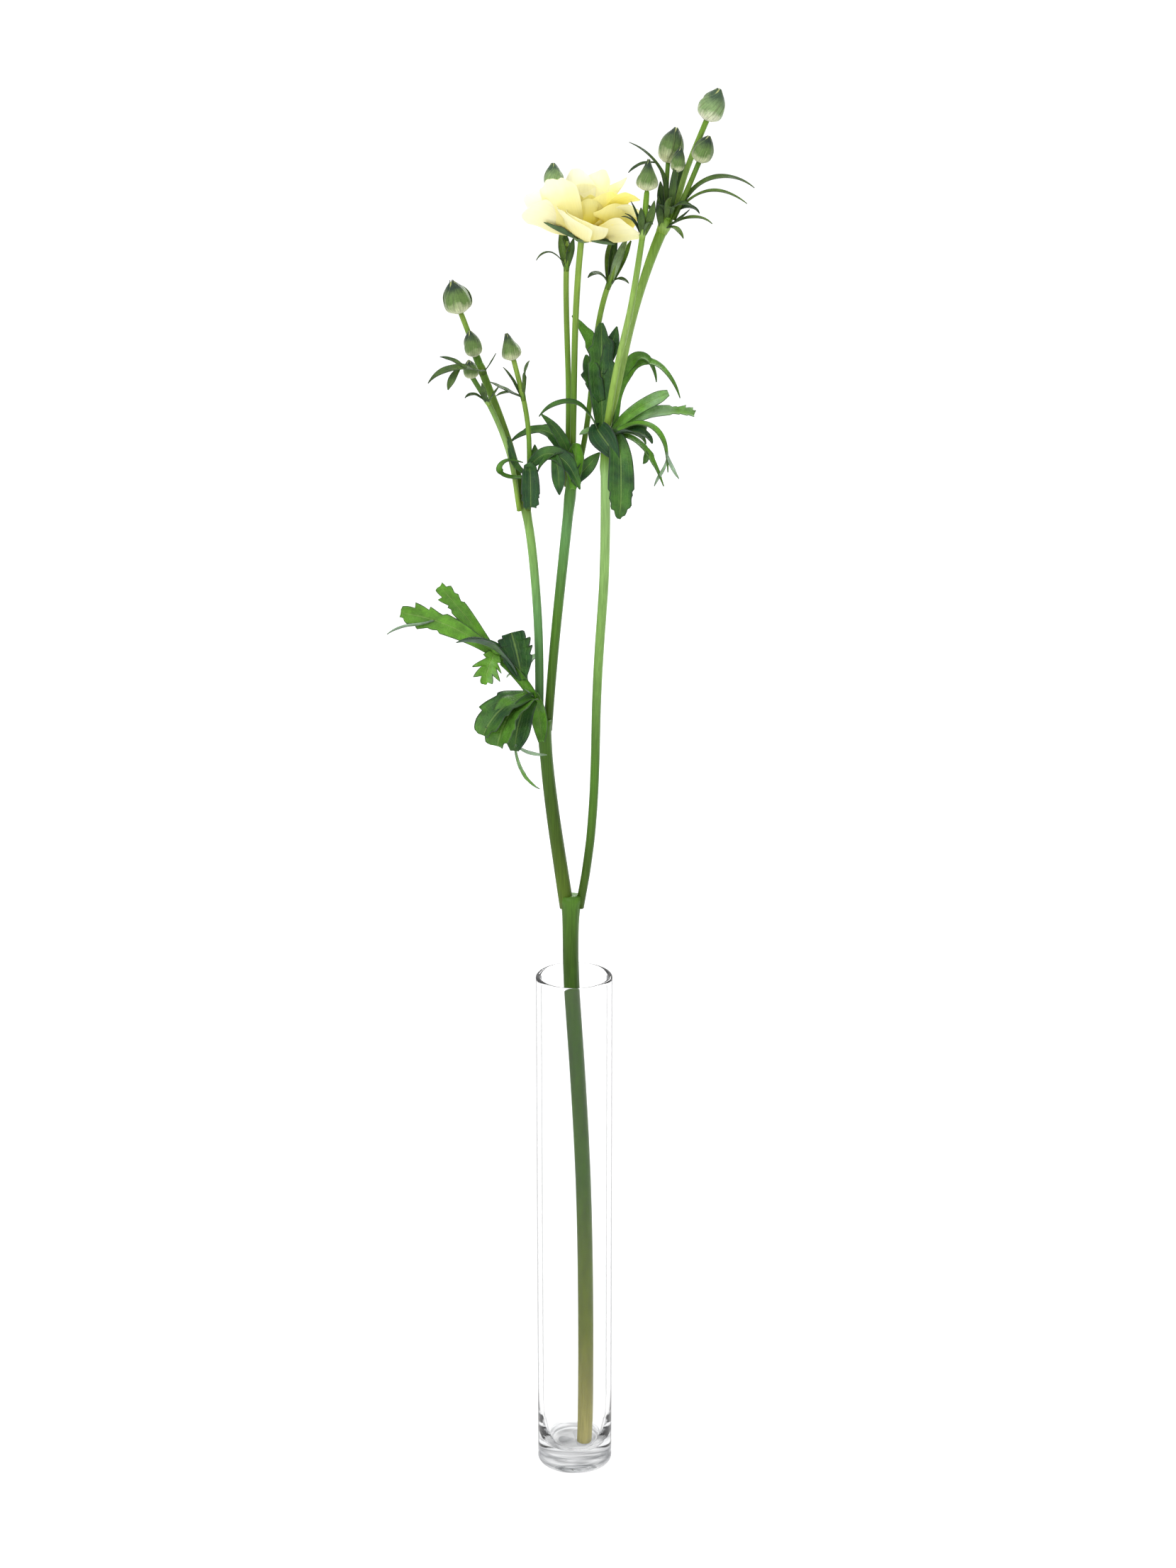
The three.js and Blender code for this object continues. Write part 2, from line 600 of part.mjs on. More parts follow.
addBracts('bracts_behind_stalk', 'stalk_behind', 0.95, 2.4, [
  { heading: [240], rise: [68, 60], length: 8, width: 2.6 },
  { heading: [300], rise: [60, 50], length: 6, width: 2.4 },
  { heading: [225, 205], rise: [62, 25, -60], length: 16, width: 1.2, foot: 0.9, faces: TO_SKY },
]);

addBracts('bracts_shaded_stalk', 'stalk_shaded', 0.86, 3, [
  { heading: [215], rise: [72, 20, -40], length: 11, width: 2.6, faces: TO_SKY },
  { heading: [325], rise: [52, 5, -40], length: 9, width: 1.8, faces: TO_SKY },
  { heading: [290, 310], rise: [70, 74], length: 12, width: 4.2 },
]);

addBracts('bracts_tall_stalk', 'stalk_left_tall', 0.96, 2, [
  {
    heading: [270, 215, 185], rise: [12, 16, -5, -52], length: 30, width: 4.4, faces: TO_SKY,
    branches: [
      { at: 0.45, heading: [160], rise: [35, 5], length: 11, width: 2, faces: TO_SKY },
      { at: 0.55, heading: [215], rise: [-40, -72], length: 9, width: 2.4 },
    ],
  },
  { heading: [325], rise: [45, 62], length: 9, width: 1.2, faces: TO_SKY },
]);

addBracts('bracts_low_stalk', 'stalk_left_low', 0.86, 2, [
  { heading: [210], rise: [48, 25, -40], length: 10, width: 2, faces: TO_SKY },
  { heading: [300, 360], rise: [45, 60], length: 8, width: 1.6, faces: TO_SKY },
  { heading: [255], rise: [45, 62], length: 10, width: 1.6 },
]);

// The young bud of this stalk is still wrapped in its leaf.
addBracts('bracts_inner_stalk', 'stalk_left_inner', 0.78, 2, [
  { heading: [205], rise: [24, 32], length: 14, width: 2.6, faces: TO_SKY },
  { heading: [222], rise: [35, 10, -20], length: 13, width: 1.6, faces: TO_SKY },
  { heading: [190], rise: [70, 50], length: 13, width: 1.4, faces: TO_SKY },
  { heading: [290], rise: [80, 76, 25], length: 17, width: 1.6, faces: TO_SKY },
], [(middle) => new THREE.SphereGeometry(1.7, 6, 5).translate(middle.x - 2.4, middle.y - 2, middle.z + 1.4)]);

// ---- flower ------------------------------------------------------------------------------

// Each whorl of petals lies on a bowl of its own: the inner the whorl, the steeper its bowl.
// foot: height of the petal bases. rise: slope in degrees at the base, and a length further out.
// reach: how much of that length each petal takes, in the order of their azimuths.
const PETAL_FOOT = RECEPTACLE_RADIUS + GAP + PETAL_THICKNESS / 2;
const WHORLS = {
  calyx: {
    footRadius: 2, foot: 0.8, rise: [0, 20], length: 14, width: 2.9, turn: 20, edgeLift: 0,
    reach: [1, 1, 1.05, 1, 1],
  },
  outer: {
    footRadius: PETAL_FOOT, foot: 2, rise: [4, 42], length: 21, width: 10.6, turn: 18, edgeLift: 0.9,
    reach: [0.94, 0.96, 1, 0.98, 0.95],
  },
  middle: {
    footRadius: PETAL_FOOT, foot: 3.8, rise: [26, 66], length: 19, width: 9, turn: 54, edgeLift: 0.8,
    reach: [1.08, 1.12, 1.1, 0.92, 0.96],
  },
  inner: {
    footRadius: PETAL_FOOT, foot: 5.4, rise: [52, 80], length: 17, width: 7, turn: 45, edgeLift: 0.6,
    reach: [1.22, 1.2, 0.95, 0.9],
  },
};

// u runs from the petal's base to its rim, 0 to 1; v runs across it, -1 to 1.
function petalPoint(whorl, azimuth, reach, u, v, skin) {
  const [start, end] = whorl.rise.map(THREE.MathUtils.degToRad);
  const bend = end - start;
  const slope = start + bend * u * reach;
  const away = whorl.footRadius + whorl.length * (Math.sin(slope) - Math.sin(start)) / bend;
  const climb = whorl.foot + whorl.length * (Math.cos(start) - Math.cos(slope)) / bend;
  const roundTip = Math.sqrt(1 - 0.85 * Math.max(0, (u - 0.5) / 0.5) ** 2);
  const halfWidth = whorl.width * (0.14 + 0.86 * Math.sin(0.6 * Math.PI * u)) * roundTip;
  const angle = THREE.MathUtils.degToRad(azimuth) + v * halfWidth / away;
  const proud = whorl.edgeLift * v * Math.sqrt(u) + skin * PETAL_THICKNESS;
  const radius = away - proud * Math.sin(slope);
  return [radius * Math.cos(angle), radius * Math.sin(angle), climb + proud * Math.cos(slope)];
}

function petalGeometry(whorl, index) {
  const azimuth = whorl.turn + 360 * index / whorl.reach.length;
  const positions = [];
  for (let row = 0; row < PETAL_ROWS; row++) {
    for (const skin of [-0.5, 0.5]) {
      for (let column = 0; column < PETAL_COLUMNS; column++) {
        const u = row / (PETAL_ROWS - 1);
        const v = 1 - 2 * column / (PETAL_COLUMNS - 1);
        positions.push(...petalPoint(whorl, azimuth, whorl.reach[index], u, v, skin));
      }
    }
  }
  return closedGeometry(positions, stripTriangles(PETAL_ROWS - 1, PETAL_COLUMNS));
}

// Stands a shape made round +Z at the origin on the flower's stalk, with the flower's lean.
function onFlower(geometry) {
  geometry.rotateY(THREE.MathUtils.degToRad(FLOWER_LEAN));
  const seat = nearTop('stalk_flower', 0.2, 0, GAP);
  return geometry.translate(seat.x, seat.y, seat.z);
}

for (const name of ['outer', 'middle', 'inner']) {
  const material = name === 'outer' ? petalCream : petalYellow;
  WHORLS[name].reach.forEach((_, i) => {
    addPiece(`petal_${name}_${i + 1}`, onFlower(petalGeometry(WHORLS[name], i)), material);
  });
}

// The receptacle, with the five sepals that grow out of its foot.
const receptacle = new THREE.LatheGeometry([
  new THREE.Vector2(0, 0),
  new THREE.Vector2(RECEPTACLE_RADIUS * 0.6, 0.2),
  new THREE.Vector2(RECEPTACLE_RADIUS, 1.2),
  new THREE.Vector2(RECEPTACLE_RADIUS, RECEPTACLE_HEIGHT),
  new THREE.Vector2(0, RECEPTACLE_HEIGHT),
], FLOWER_SIDES).rotateX(Math.PI / 2);
let calyx = solidOf(onFlower(receptacle));
WHORLS.calyx.reach.forEach((_, i) => {
  calyx = calyx.add(solidOf(onFlower(petalGeometry(WHORLS.calyx, i))));
});
addPiece('calyx', geometryOf(calyx), bractGreen);

// The button of carpels and stamens inside the innermost petals.
const centreFoot = RECEPTACLE_HEIGHT + GAP;
addPiece('flower_centre', onFlower(new THREE.LatheGeometry([
  new THREE.Vector2(0, centreFoot),
  new THREE.Vector2(RECEPTACLE_RADIUS * 0.85, centreFoot),
  new THREE.Vector2(RECEPTACLE_RADIUS * 0.9, centreFoot + 2),
  new THREE.Vector2(RECEPTACLE_RADIUS * 0.6, centreFoot + 4),
  new THREE.Vector2(0, centreFoot + 5),
], FLOWER_SIDES).rotateX(Math.PI / 2)), centreGreen);

export default plant;
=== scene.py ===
# %% [markdown]
# # A spray ranunculus in a slim glass vase
#
# This lesson dresses a plain solid model of a cut ranunculus spray: long hollow stems, lobed
# leaves, closed buds and one open cream flower, standing in a tall clear glass cylinder.
# The solid model says where every part is. Here each part gets its true surface: ribbed stems,
# thin toothed leaves, buds wrapped in sepals, and petals that the light shines through.

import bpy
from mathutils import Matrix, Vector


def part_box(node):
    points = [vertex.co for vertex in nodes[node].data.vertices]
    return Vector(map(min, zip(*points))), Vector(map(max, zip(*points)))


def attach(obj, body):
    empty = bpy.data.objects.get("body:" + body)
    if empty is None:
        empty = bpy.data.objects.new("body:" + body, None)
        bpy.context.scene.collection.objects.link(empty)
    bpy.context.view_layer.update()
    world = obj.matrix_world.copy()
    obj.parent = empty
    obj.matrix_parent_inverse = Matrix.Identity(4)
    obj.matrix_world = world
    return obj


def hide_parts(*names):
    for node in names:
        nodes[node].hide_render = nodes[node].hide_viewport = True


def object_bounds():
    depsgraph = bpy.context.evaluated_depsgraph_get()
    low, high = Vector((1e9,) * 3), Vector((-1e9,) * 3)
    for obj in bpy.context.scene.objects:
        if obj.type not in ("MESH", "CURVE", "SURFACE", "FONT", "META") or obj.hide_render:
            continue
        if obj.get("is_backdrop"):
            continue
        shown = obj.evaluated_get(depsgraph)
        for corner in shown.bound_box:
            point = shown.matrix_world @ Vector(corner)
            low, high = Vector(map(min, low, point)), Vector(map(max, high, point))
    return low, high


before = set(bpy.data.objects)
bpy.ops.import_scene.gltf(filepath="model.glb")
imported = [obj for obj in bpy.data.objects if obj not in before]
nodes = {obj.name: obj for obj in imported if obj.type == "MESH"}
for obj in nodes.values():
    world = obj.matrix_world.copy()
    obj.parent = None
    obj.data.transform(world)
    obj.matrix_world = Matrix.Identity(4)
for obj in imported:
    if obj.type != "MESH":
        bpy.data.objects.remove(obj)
cad_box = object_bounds()
print("the solid model reaches from", cad_box[0], "to", cad_box[1])

# %% Tools for the lesson
import math

import bmesh
import bpy
from mathutils import Matrix, Vector

MM = 0.001
UP = Vector((0, 0, 1))
WHITE = (1, 1, 1, 1)
BLACK = (0, 0, 0, 1)
scene = bpy.context.scene
print(len(nodes), "solid parts")

# %% [markdown]
# ## The camera
#
# The spray is seen from the front and a little from above, from a good metre away. A long lens
# keeps the tall stems from leaning, as in a catalogue picture. The sensor is fitted to the height
# of the frame, because the object is much taller than it is wide.

# %% Camera
CAMERA_PLACE = Vector((5.4, -1143, 650.5)) * MM
LOOKS_DOWN = 17.6

camera_data = bpy.data.cameras.new("camera")
camera_data.sensor_fit = "VERTICAL"
camera_data.sensor_height = 36
camera_data.sensor_width = 36
camera_data.lens = 72.26
camera_data.clip_start = 0.01
camera_data.clip_end = 100
camera = bpy.data.objects.new("camera", camera_data)
camera.location = CAMERA_PLACE
camera.rotation_euler = (math.radians(90 - LOOKS_DOWN), 0, 0)
scene.collection.objects.link(camera)
scene.camera = camera
print("camera at", camera.location)

# %% [markdown]
# ## Colours and finishes
#
# A plant's surface is never one colour. Each finish here starts from two or three tints that run
# along or across the part, then adds fine streaks or veins, and lets some light through where the
# tissue is thin. Every part carries its own numbers for this: `along` runs from its foot, 0, to
# its tip, 1, and `across` from one edge, -1, to the other, 1. A finish reads them by name, so the
# pattern follows the part however it bends.

# %% Tints and nodes
def tint(red, green, blue):
    """A colour given as on a paint chart, 0 to 255, as the shader needs it."""
    return tuple((part / 255) ** 2.2 for part in (red, green, blue)) + (1,)


class NodeTree:
    """The nodes of a room or a material, with short ways to add them."""

    def __init__(self, owner):
        owner.use_nodes = True
        self.tree = owner.node_tree
        self.tree.nodes.clear()

    def add(self, kind, inputs=None, **settings):
        made = self.tree.nodes.new("ShaderNode" + kind)
        for name, value in settings.items():
            setattr(made, name, value)
        for socket, value in (inputs or {}).items():
            if isinstance(value, bpy.types.NodeSocket):
                self.tree.links.new(value, made.inputs[socket])
            else:
                made.inputs[socket].default_value = value
        return made

    def sum(self, operation, first, second=0.5, third=0.5):
        """Any arithmetic on one, two or three numbers."""
        return self.add("Math", {0: first, 1: second, 2: third}, operation=operation).outputs[0]

    def ramp(self, amount, stops):
        """Tints or greys along a scale: stops are (place, tint)."""
        made = self.add("ValToRGB", {"Fac": amount})
        scale = made.color_ramp.elements
        while len(scale) < len(stops):
            scale.new(0.5)
        for mark, (place, colour) in zip(scale, stops):
            mark.position = place
            mark.color = colour
        return made.outputs["Color"]


class Finish(NodeTree):
    """A material under construction."""

    def __init__(self, name):
        self.material = bpy.data.materials.new(name)
        super().__init__(self.material)

    def own(self, name):
        """A number that the part carries, such as along or across."""
        return self.add("Attribute", attribute_name=name).outputs["Fac"]

    def grain(self, size, stretch=(1, 1, 1), detail=3.0):
        """Soft spots of about this size in metres, drawn out along the axes by stretch."""
        place = self.add("TexCoord").outputs["Object"]
        scaled = self.add("Mapping", {"Vector": place, "Scale": [1 / s for s in stretch]}).outputs[0]
        made = self.add("TexNoise", {"Vector": scaled, "Scale": 1 / size, "Detail": detail})
        return made.outputs["Fac"]

    def streaks(self, across, along, detail):
        """Noise that follows the part: fine across it if `across` is high, and long along it."""
        place = self.add("CombineXYZ", {
            0: self.sum("MULTIPLY", self.own("across"), across),
            1: self.sum("MULTIPLY", self.own("along"), along),
        }).outputs[0]
        return self.add("TexNoise", {"Vector": place, "Scale": 1.0, "Detail": detail}).outputs["Fac"]

    def margin(self, colour, start, full, amount, edge):
        """The colour with a line of another along both edges of the part."""
        line = self.ramp(self.sum("ABSOLUTE", self.own("across")), [(start, BLACK), (full, WHITE)])
        return self.blend(self.sum("MULTIPLY", line, amount), colour, edge)

    def spread(self, amount, low, high):
        """Stretches a soft 0.3 to 0.7 signal over low to high."""
        made = self.add("MapRange", {0: amount, 1: 0.3, 2: 0.7, 3: low, 4: high})
        return made.outputs[0]

    def blend(self, amount, first, second, how="MIX"):
        """Two colours mixed, or multiplied if `how` says so."""
        sockets = {0: amount, 6: first, 7: second}
        return self.add("Mix", sockets, data_type="RGBA", blend_type=how).outputs[2]

    def shade(self, colour, amount):
        """A colour made lighter or darker by a factor about 1."""
        grey = self.add("CombineColor", {0: amount, 1: amount, 2: amount}).outputs[0]
        return self.blend(1.0, colour, grey, "MULTIPLY")

    def bump(self, height, depth):
        made = self.add("Bump", {"Height": height, "Distance": depth, "Strength": 1.0})
        return made.outputs["Normal"]

    def surface(self, colour, roughness, normal=None, through=0.0, glow=None, **sockets):
        """The shader: a skin of this colour, and light through it where the tissue is thin."""
        skin = self.add("BsdfPrincipled", {"Base Color": colour, "Roughness": roughness})
        for name, value in sockets.items():
            skin.inputs[name.replace("_", " ")].default_value = value
        if normal is not None:
            self.tree.links.new(normal, skin.inputs["Normal"])
        shown = skin.outputs[0]
        if through:
            light = self.add("BsdfTranslucent", {"Color": glow if glow is not None else colour})
            shown = self.add("MixShader", {0: through, 1: shown, 2: light.outputs[0]}).outputs[0]
        out = self.add("OutputMaterial")
        self.tree.links.new(shown, out.inputs["Surface"])
        return self.material


print("finish tools ready")


# %% [markdown]
# ## Light and floor
#
# A thin plant on white shows best in light from all round, so the room itself is the lamp. The
# room is a little greyer on the far left and right: glass and glossy stems mirror those sides at
# their edges, and that draws their outline. One large soft lamp in front and one behind shape the
# petals, and the one behind lights the thin leaves through. The glass doesn't show the lamps, as
# each would be a hard white patch in its thick foot.

# %% Room
scene.view_settings.view_transform = "Standard"
room = bpy.data.worlds.new("studio")
scene.world = room
studio = NodeTree(room)
sideways = studio.add("SeparateXYZ", {0: studio.add("TexCoord").outputs["Generated"]}).outputs["X"]
walls = studio.ramp(studio.sum("ABSOLUTE", sideways), [(0.28, WHITE), (0.88, (0.3, 0.31, 0.33, 1))])
room_light = studio.add("Background", {"Color": walls, "Strength": 1.1})
backdrop = studio.add("Background", {"Color": WHITE})
seen = studio.add("LightPath").outputs["Is Camera Ray"]
choice = studio.add("MixShader", {0: seen, 1: room_light.outputs[0], 2: backdrop.outputs[0]})
studio.add("OutputWorld", {"Surface": choice.outputs[0]})
print("room light", room_light.inputs["Strength"].default_value)


# %% Soft lamps
def add_lamp(name, place, aim, size, power):
    lamp = bpy.data.lights.new(name, "AREA")
    lamp.shape = "DISK"
    lamp.size = size
    lamp.energy = power
    stand = bpy.data.objects.new(name, lamp)
    stand.location = place
    stand.visible_transmission = False
    stand.rotation_euler = (aim - place).to_track_quat("-Z", "Y").to_euler()
    scene.collection.objects.link(stand)


middle_of_spray = Vector((0, 0, 0.7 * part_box("calyx")[1].z))
add_lamp("front_lamp", Vector((-0.9, -1.3, 1.5)), middle_of_spray, 1.1, 16)
add_lamp("back_lamp", Vector((0.7, 1.5, 1.3)), middle_of_spray, 1.2, 34)
print("two soft lamps")

# %% Floor
FLOOR_RADIUS = 15
floor_mesh = bmesh.new()
bmesh.ops.create_circle(floor_mesh, cap_ends=True, radius=FLOOR_RADIUS, segments=64)
floor_data = bpy.data.meshes.new("floor")
floor_mesh.to_mesh(floor_data)
floor_mesh.free()
floor = bpy.data.objects.new("floor", floor_data)
scene.collection.objects.link(floor)
floor_data.materials.append(Finish("pale floor").surface(
    (0.28, 0.28, 0.28, 1), 0.9, Specular_IOR_Level=0.1, Emission_Color=WHITE, Emission_Strength=0.86,
))
floor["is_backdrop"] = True
print("floor", floor.dimensions.x, "m across")


# %% [markdown]
# ## Stem finish
#
# A ranunculus stem is smooth, a little waxy and finely ribbed, and its green changes along its
# length, from khaki and olive through fresh green to pale mint. The pale mint high on the right
# branch is partly painted back light, where light from behind shines through the stem. A ramp along
# the stem gives the change, and a noise drawn out lengthwise gives the fine streaks.

# %% Stem finish
def stem_finish(name, stops):
    finish = Finish(name)
    colour = finish.ramp(finish.own("along"), stops)
    fine = finish.grain(0.0005, stretch=(1, 1, 40))
    blotches = finish.grain(0.006, stretch=(1, 1, 4))
    colour = finish.shade(colour, finish.spread(fine, 0.72, 1.04))
    colour = finish.shade(colour, finish.spread(blotches, 0.84, 1.16))
    return finish.surface(
        colour, finish.spread(blotches, 0.32, 0.5), finish.bump(fine, 0.00012),
        through=0.08, Specular_IOR_Level=0.2,
    )


KHAKI = tint(192, 182, 106)
OLIVE = tint(88, 112, 34)
DARK_OLIVE = tint(66, 92, 28)
DEEP_GREEN = tint(52, 84, 30)
MID_GREEN = tint(84, 126, 44)
FRESH_GREEN = tint(108, 150, 42)
MINT = tint(134, 176, 92)
PALE_MINT = tint(162, 204, 124)
BLUE_GREEN = tint(100, 148, 86)
YELLOW_GREEN = tint(130, 164, 58)
BRIGHT_GREEN = tint(152, 186, 98)

stem_finishes = {
    "main_stem": stem_finish("old main stem", [
        (0, KHAKI), (0.22, tint(112, 126, 30)), (0.5, tint(68, 108, 6)), (0.72, tint(60, 100, 4)),
        (0.9, tint(66, 96, 32)), (1, MID_GREEN),
    ]),
    "left_branch_stem": stem_finish("dark olive stem", [(0, OLIVE), (0.5, DARK_OLIVE), (1, MID_GREEN)]),
    # the pale mint near its top is partly painted back light
    "right_branch_stem": stem_finish("paling stem", [
        (0, DARK_OLIVE), (0.3, MID_GREEN), (0.6, MINT), (0.9, PALE_MINT), (0.94, FRESH_GREEN), (1, OLIVE),
    ]),
    "left_stem": stem_finish("blue green stem", [
        (0, DEEP_GREEN), (0.5, BLUE_GREEN), (0.85, MINT), (1, OLIVE),
    ]),
    "middle_stem": stem_finish("mint stem", [
        (0, DARK_OLIVE), (0.45, MID_GREEN), (0.8, BLUE_GREEN), (1, MID_GREEN),
    ]),
}
young_stalk = stem_finish("young stalk", [(0, OLIVE), (0.35, tint(100, 140, 50)), (1, tint(142, 172, 76))])
olive_stalk = stem_finish("olive stalk", [(0, DARK_OLIVE), (0.6, tint(108, 140, 52)), (1, MID_GREEN)])
pale_stalk = stem_finish("pale stalk", [(0, YELLOW_GREEN), (0.4, tint(138, 170, 98)), (1, MID_GREEN)])
bright_stalk = stem_finish("bright stalk", [(0, YELLOW_GREEN), (0.4, BRIGHT_GREEN), (1, FRESH_GREEN)])
print(len(stem_finishes) + 4, "stem finishes")


# %% [markdown]
# ## Leaf finishes
#
# The upper side of the leaf is dark green with paler veins and a thin dark edge. The underside is
# greyer and duller. Each lobe carries a number for its tone, and above 0 it is painted light: near 0
# the leaf's own dark green, near 1 a bright yellow-green painted where a lobe is lit through from
# behind, and towards 2 pale, a painted reflection of the sky on a lobe that faces it. Soft patches
# vary it at random. The veins run lengthwise and spread to the teeth, so they are lines of equal `across`.

# %% Leaf finishes
def leaf_finish(name, dark, bright, pale, vein, edge, through, roughness):
    finish = Finish(name)
    across = finish.sum("ABSOLUTE", finish.own("across"))
    patches = finish.grain(0.009)
    tone = finish.sum("ADD", finish.own("tone"), finish.spread(patches, -0.22, 0.26))
    mottle = finish.grain(0.0035)
    cells = finish.grain(0.0006, detail=2.0)
    # painted light by tone: own dark green at 0, painted back light at 1, painted sky reflection towards 2
    colour = finish.ramp(finish.sum("MULTIPLY", tone, 0.5), [(0, dark), (0.5, bright), (0.8, pale)])
    colour = finish.shade(colour, finish.spread(mottle, 0.66, 1.14))
    colour = finish.shade(colour, finish.spread(cells, 0.9, 1.1))
    wander = finish.sum("MULTIPLY_ADD", mottle, 0.12, across)
    midrib = finish.ramp(across, [(0, WHITE), (0.09, BLACK)])
    side_vein = finish.sum("PINGPONG", finish.sum("ADD", wander, 0.14), 0.2)
    side_veins = finish.ramp(side_vein, [(0, (0.32, 0.32, 0.32, 1)), (0.035, BLACK)])
    veins = finish.sum("MAXIMUM", midrib, side_veins)
    colour = finish.blend(finish.sum("MULTIPLY", veins, 0.6), colour, vein)
    colour = finish.margin(colour, 0.88, 0.98, 0.6, edge)
    relief = finish.sum("MULTIPLY_ADD", veins, -0.5, cells)
    return finish.surface(
        colour, roughness, finish.bump(relief, 0.00025), through=through,
        glow=finish.blend(0.5, colour, tint(150, 190, 60)), Specular_IOR_Level=0.4,
    )


leaf_upper = leaf_finish(
    "leaf upper side", tint(38, 78, 42), tint(108, 168, 50), tint(166, 194, 164),
    tint(140, 172, 92), tint(46, 42, 58), 0.22, 0.48,
)
leaf_under = leaf_finish(
    "leaf underside", tint(84, 108, 88), tint(128, 168, 86), tint(172, 196, 172),
    tint(170, 190, 150), tint(84, 82, 96), 0.22, 0.6,
)
print("leaf finishes ready")


# %% [markdown]
# ## How a blade grows
#
# Leaves, bracts, sepals and petals are all thin blades. Each grows from a foot along a line: its
# heading is a compass direction from above (0 right, 90 back, 180 left, 270 front), and its rise
# is in degrees above level. A blade is made from one grid, bent along its line. The grid's columns
# run across the blade: they can be cupped, folded, waved and cut into teeth.

# %% Lines and frames
LINE_STEPS = 40


def part_way(values, t):
    """The value part of the way, 0 to 1, through a list of evenly spaced values."""
    if len(values) == 1:
        return values[0]
    station = t * (len(values) - 1)
    low = min(int(station), len(values) - 2)
    return values[low] + (values[low + 1] - values[low]) * (station - low)


def direction(heading, rise):
    h, r = math.radians(heading), math.radians(rise)
    return Vector((math.cos(r) * math.cos(h), math.cos(r) * math.sin(h), math.sin(r)))


def growing_line(foot, length, heading, rise):
    """Points along a blade, evenly spaced from its foot. The length is in millimetres."""
    line = [foot.copy()]
    for step in range(LINE_STEPS):
        t = (step + 0.5) / LINE_STEPS
        way = direction(part_way(heading, t), part_way(rise, t))
        line.append(line[-1] + way * (length * MM / LINE_STEPS))
    return line


def on_line(line, part):
    """The place part of the way along a line, and the way the line runs there."""
    station = min(max(part, 0), 1) * (len(line) - 1)
    low = min(int(station), len(line) - 2)
    step = line[low + 1] - line[low]
    return line[low] + step * (station - low), step.normalized()


print("a blade's line has", LINE_STEPS, "steps")


# %% Blades
def half_width(t, width, widest, base, tip, slow):
    """It widens from its foot, late if `slow` is high, and narrows past its widest place."""
    if t < widest:
        grown = base + (1 - base) * math.sin(math.pi / 2 * t / widest) ** slow
    else:
        grown = tip + (1 - tip) * math.cos(math.pi / 2 * (t - widest) / (1 - widest))
    return grown * width * MM / 2


def tooth(t, teeth, start, side):
    """How far an edge stands out at t: each tooth grows slowly and ends suddenly."""
    if t < start or not teeth:
        return 0
    place = (t - start) / (1 - start) * teeth + (0.35 if side < 0 else 0)
    part = place - math.floor(place)
    sharp = part / 0.78 if part < 0.78 else (1 - part) / 0.22
    return sharp * min(1, (t - start) / 0.12)


FACING_FRONT = Vector((0, -1, 0.15))
FACING_SKY = Vector((0, -0.35, 1))
FACING_LEFT = Vector((-0.7, -0.4, 1))
FACING_RIGHT = Vector((0.7, -0.4, 1))
MARKS = ("along", "across", "tone")


def start_part():
    """An empty mesh whose points can carry along, across and the tone with its painted light."""
    shape = bmesh.new()
    for mark in MARKS:
        shape.verts.layers.float.new(mark)
    return shape


def grow_blade(
    shape, line, width, faces=FACING_FRONT, widest=0.55, base=0.4, tip=0.05, slow=1.0,
    cup=0.5, fold=0.1, twist=(0,), teeth=0, tooth_depth=0.3, tooth_start=0.45,
    wave=0.07, waves=2.3, bow=0.0, ragged=0.0, tone=0.3, columns=8, rows=36,
):
    """Bends a grid along a line. Its upper side faces as near to `faces` as it can."""
    along_mark, across_mark, tone_and_painted_light_mark = (shape.verts.layers.float[mark] for mark in MARKS)
    grid = bmesh.ops.create_grid(shape, x_segments=columns, y_segments=rows, size=1)["verts"]
    for vertex in grid:
        across = vertex.co.x
        along = (vertex.co.y + 1) / 2
        notches = math.sin(7 * across + width) + 0.6 * math.sin(13 * across + 2 * width)
        here = along * (1 - bow * across * across - ragged * (1 + notches))
        centre, forward = on_line(line, here)
        upper = (faces - forward * faces.dot(forward)).normalized()
        upper.rotate(Matrix.Rotation(math.radians(part_way(twist, here)), 3, forward))
        side = forward.cross(upper)
        half = half_width(here, width, widest, base, tip, slow)
        stands = tooth(here, teeth, tooth_start, across)
        reach = half * (1 + tooth_depth * (stands - 0.5 * (here > tooth_start and teeth > 0)))
        turn = across * max(cup, 0.001)
        out = reach * math.sin(turn) / max(cup, 0.001)
        lift = reach * (1 - math.cos(turn)) / max(cup, 0.001) + fold * half * abs(across)
        ripple = wave * half * abs(across) * math.sin(2 * math.pi * waves * here + 1.7 * (across > 0))
        sweep = tooth_depth * stands * half * 0.8 * across * across
        vertex.co = centre + side * out + upper * (lift + ripple) + forward * sweep
        vertex[along_mark] = along
        vertex[across_mark] = across
        vertex[tone_and_painted_light_mark] = tone


def grow(shape, start, length, heading, rise, branches=(), at=None, **form):
    """A blade and all that branches off it. A branch starts part of the way along, at its `at`."""
    line = growing_line(start, length, heading, rise)
    grow_blade(shape, line, **form)
    for branch in branches:
        grow(shape, on_line(line, branch["at"])[0], **branch)


def lobe(heading, rise, length, width, tone=0.3, **form):
    """How one blade grows: its way, length, width, its tone with painted light, and whatever else sets it
    apart.
    """
    return dict(heading=heading, rise=rise, length=length, width=width, tone=tone, **form)


def strap(*way_and_size, **form):
    """A lobe whose upper side faces the sky."""
    return lobe(*way_and_size, faces=FACING_SKY, **form)


print("blades ready")


